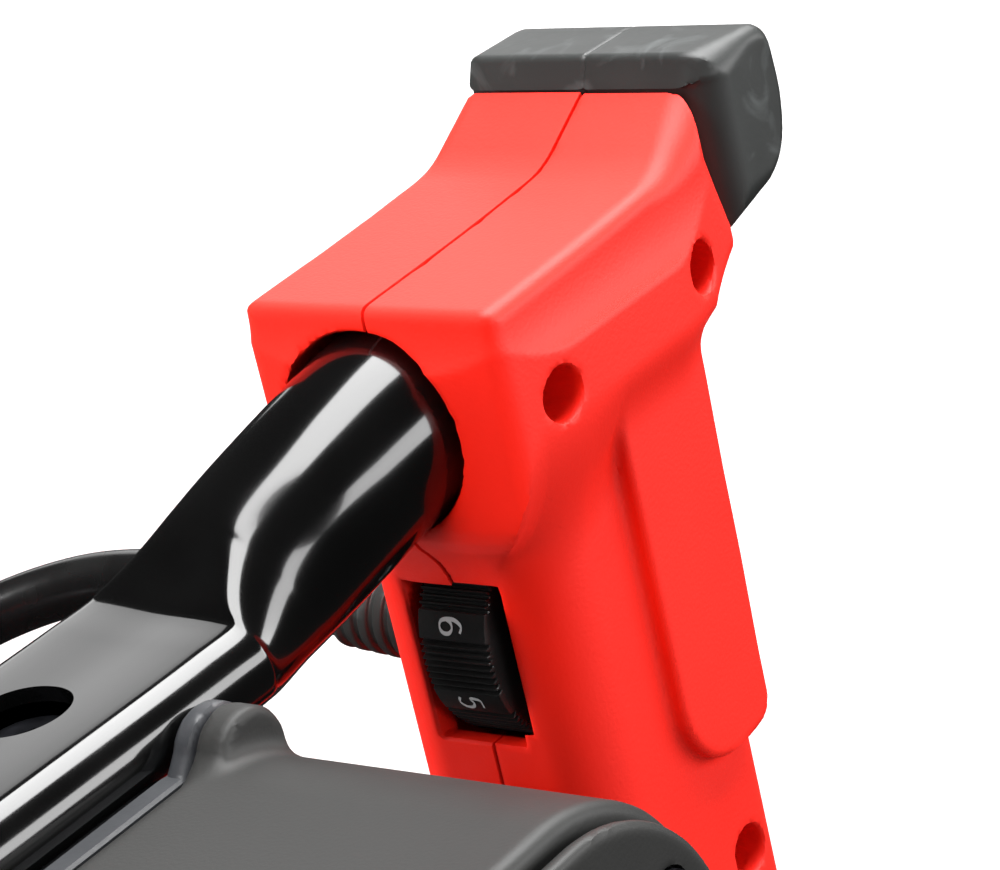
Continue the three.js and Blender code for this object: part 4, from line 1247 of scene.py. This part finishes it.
@dataclass
class Drive:
    """Motor housing, tail cap, bearing plate and gear case."""

    side: tuple[float, float] = (45.4, 55.1)
    corner: float = 24.7
    wall: float = 4.0
    floor: float = 6.55
    top: float = 57.83
    end: float = 62.0
    lug: tuple[float, float, float, float] = (43.7, 39.2, 5.8, 11.0)
    screw: tuple[float, float] = (30.0, 44.0)
    case: Array = field(default_factory=lambda: rounded([
        (40, -37, 6), (40, 38, 6), (27, 57, 12), (-27, 57, 12), (-40, 38, 6), (-40, -37, 6), (-28, -42, 6),
        (28, -42, 6)]))

    def wide(self, x: Array, y: Array, inset: float = 0.0) -> Array:
        """Distance to the motor's outline, a rectangle with wide round corners.

        Args:
            x, y: places in mm.
            inset: how far the outline is moved in.

        Returns:
            Distance in mm, negative inside.
        """
        u = np.abs(x) - self.side[0] + self.corner
        v = np.abs(y) - self.side[1] + self.corner
        return (np.hypot(np.maximum(u, 0), np.maximum(v, 0)) + np.minimum(np.maximum(u, v), 0)
                - self.corner + inset)

    def lugs(self, x: Array, y: Array, z: Array, low: float, high: float) -> Array:
        """Four round lugs and their webs towards the middle.

        Args:
            x, y, z: places in mm.
            low, high: heights they stand between.

        Returns:
            Distance in mm, negative inside.
        """
        u, v = np.abs(x), np.abs(y)
        lx, ly, lr, _ = self.lug
        length = np.hypot(lx, ly)
        along, off = (u * lx + v * ly) / length, np.abs(v * lx - u * ly) / length
        web = np.maximum(off - lr + 0.2, np.maximum(along - length, 45 - along))
        flat = np.minimum(rod(u, v, (lx, ly), lr), web)
        return slab(flat, z - (low + high) / 2, (high - low) / 2, 1.0)

    def housing(self, x: Array, y: Array, z: Array) -> Array:
        """The motor's barrel: rounded collar and rim, straight wall, lugs run in with a fillet, open inside.

        Args:
            x, y, z: places in mm.

        Returns:
            Distance in mm, negative inside.
        """
        outline = self.wide(x, y)
        low, high = self.floor, self.top
        edge = np.where(z < 30, 3.6, 1.8)
        barrel = slab(outline, z - (low + high) / 2, (high - low) / 2, edge)
        whole = blend(barrel, self.lugs(x, y, z, low, self.lug[3]), 2.5)
        return np.maximum(whole, -(outline + self.wall))

    def cap(self, x: Array, y: Array, z: Array) -> Array:
        """The tail cap: a plate set in a little from the barrel, with rings in its face and screw recesses.

        Args:
            x, y, z: places in mm.

        Returns:
            Distance in mm, negative inside.
        """
        low, high = self.top + 0.8, self.end
        outline = self.wide(x, y, 1.7)
        body = slab(outline, z - (low + high) / 2, (high - low) / 2, 1.7)
        radius = np.hypot(x, y)
        ring = np.minimum(np.abs(outline + 7.0) - 0.9, np.abs(outline + 12.0) - 0.9)
        ring = np.minimum(ring, np.abs(radius - 25.2) - 0.7)
        body = -blend(-body, -np.maximum(-ring, z - high + 0.7), 0.8)
        recess = np.maximum(rod(np.abs(x), np.abs(y), self.screw, 3.55), high - 2.3 - z)
        body = np.maximum(body, -recess)
        seat = np.maximum(np.abs(radius - 13.1) - 1.7, np.abs(z - 55.2) - 4)
        return np.minimum(body, seat)

    def plate(self, x: Array, y: Array, z: Array) -> Array:
        """The bearing plate: the motor's outline, set in, with lugs, a hub and a round cable inlet.

        Args:
            x, y, z: places in mm.

        Returns:
            Distance in mm, negative inside.
        """
        low, high = 3.2, 6.2
        at = MotorCable.enters
        flat = np.minimum(self.wide(x, y, 1.2), rod(x, y, at, 9))
        whole = np.minimum(slab(flat, z - (low + high) / 2, 1.5, 0.5), self.lugs(x, y, z, low, high))
        radius = np.hypot(x, y)
        hub = slab(radius - 17, z + 2.5, 6.5, 0.5)
        whole = np.minimum(whole, hub)
        whole = np.maximum(whole, -np.minimum(np.maximum(radius - 14.35, -7 - z), radius - 8))
        return np.maximum(whole, -rod(x, y, at, 6.35))

    def cover(self, x: Array, y: Array, z: Array) -> Array:
        """The gear case's upper half: the case's outline with an eased edge, and its bores.

        Args:
            x, y, z: places in mm.

        Returns:
            Distance in mm, negative inside.
        """
        low, high = -22.32, 2.85
        body = slab(outline_distance(x, y, self.case), z - (low + high) / 2, (high - low) / 2, 1.6)
        radius = np.hypot(x, y)
        bore = np.where(z > -9.35, 17.35, 9.0)
        bolts = np.hypot(np.abs(y) - 29.5, z + 14) - 4.35
        body = np.maximum(body, -np.maximum(bolts, 20 - np.abs(x)))
        return np.maximum(body, bore - radius)

    def lower(self, x: Array, y: Array, z: Array) -> Array:
        """The gear case's lower half, with its neck run in by a wide fillet and stiffened by four ribs.

        Args:
            x, y, z: places in mm.

        Returns:
            Distance in mm, negative inside.
        """
        low, high = -62.0, -22.68
        box = slab(outline_distance(x, y, self.case), z - (low + high) / 2, (high - low) / 2, 3.0)
        radius = np.hypot(x, y)
        neck_r = np.interp(z, [-104, -84, -72, -61, -50], [20.5, 22, 26, 34, 34])
        neck = np.maximum(np.maximum(radius - neck_r, -104 - z), z + 50)
        whole = blend(box, neck, 5)
        ribs = np.maximum(np.minimum(np.abs(x), np.abs(y)) - 1.8, np.maximum(-96 - z, z + 50))
        ribs = np.maximum(ribs, radius - 25 - 0.32 * (z + 96))
        whole = blend(whole, ribs, 2)
        bore = np.where(z < -93, 17.8, np.where(z < -54, 11.0, 23.0))
        shaft = np.maximum(rod(x, y, (0, 27), 25), -34.5 - z)
        return np.maximum(np.maximum(whole, bore - radius), -shaft)

    def build(self) -> None:
        """Makes the drive's outer pieces."""
        skins = (
            ("motor_barrel", self.housing, (-50, -56, 6), (50, 56, 58), 0.75, "motor_housing",
             Finishes.GREY_NYLON, "grey_plastic"),
            ("motor_tail_cap", self.cap, (-46, -56, 51), (46, 56, 62), 0.6, "tail_cap",
             Finishes.GREY_NYLON, "grey_plastic"),
            ("motor_bearing_plate", self.plate, (-50, -61, -9), (50, 56, 7), 0.75, "bearing_plate",
             Finishes.CAST_PAINT, "cast_metal"),
            ("gear_case_upper_casting", self.cover, (-41, -43, -23), (41, 58, 3), 0.75, "gear_case_cover",
             Finishes.CAST_PAINT, "cast_metal"),
            ("gear_case_lower_casting", self.lower, (-41, -43, -104), (41, 58, -22), 0.8, "gear_case",
             Finishes.CAST_PAINT, "cast_metal"),
        )
        for name, shape, low, high, step, node, finish, slot in skins:
            place(name, Skin(low, high, step).wrap(shape), finish, "frame", node, slot, sharp=SKIN_SHARP)


def dress_frame() -> None:
    """Gives every modelled node that still shows its own finish, by the kind of piece it is."""
    kinds = {
        "bolt": Finishes.BLACK_OXIDE, "screw": Finishes.BLACK_OXIDE, "bearing": Finishes.TURNED_STEEL,
        "rotor": Finishes.CORE_PLATE, "stator": Finishes.CORE_PLATE, "commutator": Finishes.COPPER,
        "brush": Finishes.COPPER, "fan": Finishes.BLACK_ACETAL, "switch_module": Finishes.BLACK_ACETAL,
        "potentiometer": Finishes.BLACK_ACETAL,
    }
    for name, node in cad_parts.items():
        finish = next((f for word, f in kinds.items() if word in name), Finishes.TURNED_STEEL)
        WARDROBE.dress(node, finish)


def main() -> None:
    """Builds the mixer's head, piece by piece."""
    logging.basicConfig(level=logging.INFO, format="%(message)s")
    Studio().build()
    dress_frame()
    MotorCable().build()
    for side, sign in (("front", 1), ("rear", -1)):
        FrameTube(side, sign).build()
    Grip("switch_handle", -1, 0.6, True).build()
    Grip("plain_handle", 1, 0.8, False).build()
    Controls().build()
    Drive().build()


if __name__ == "__main__":
    main()
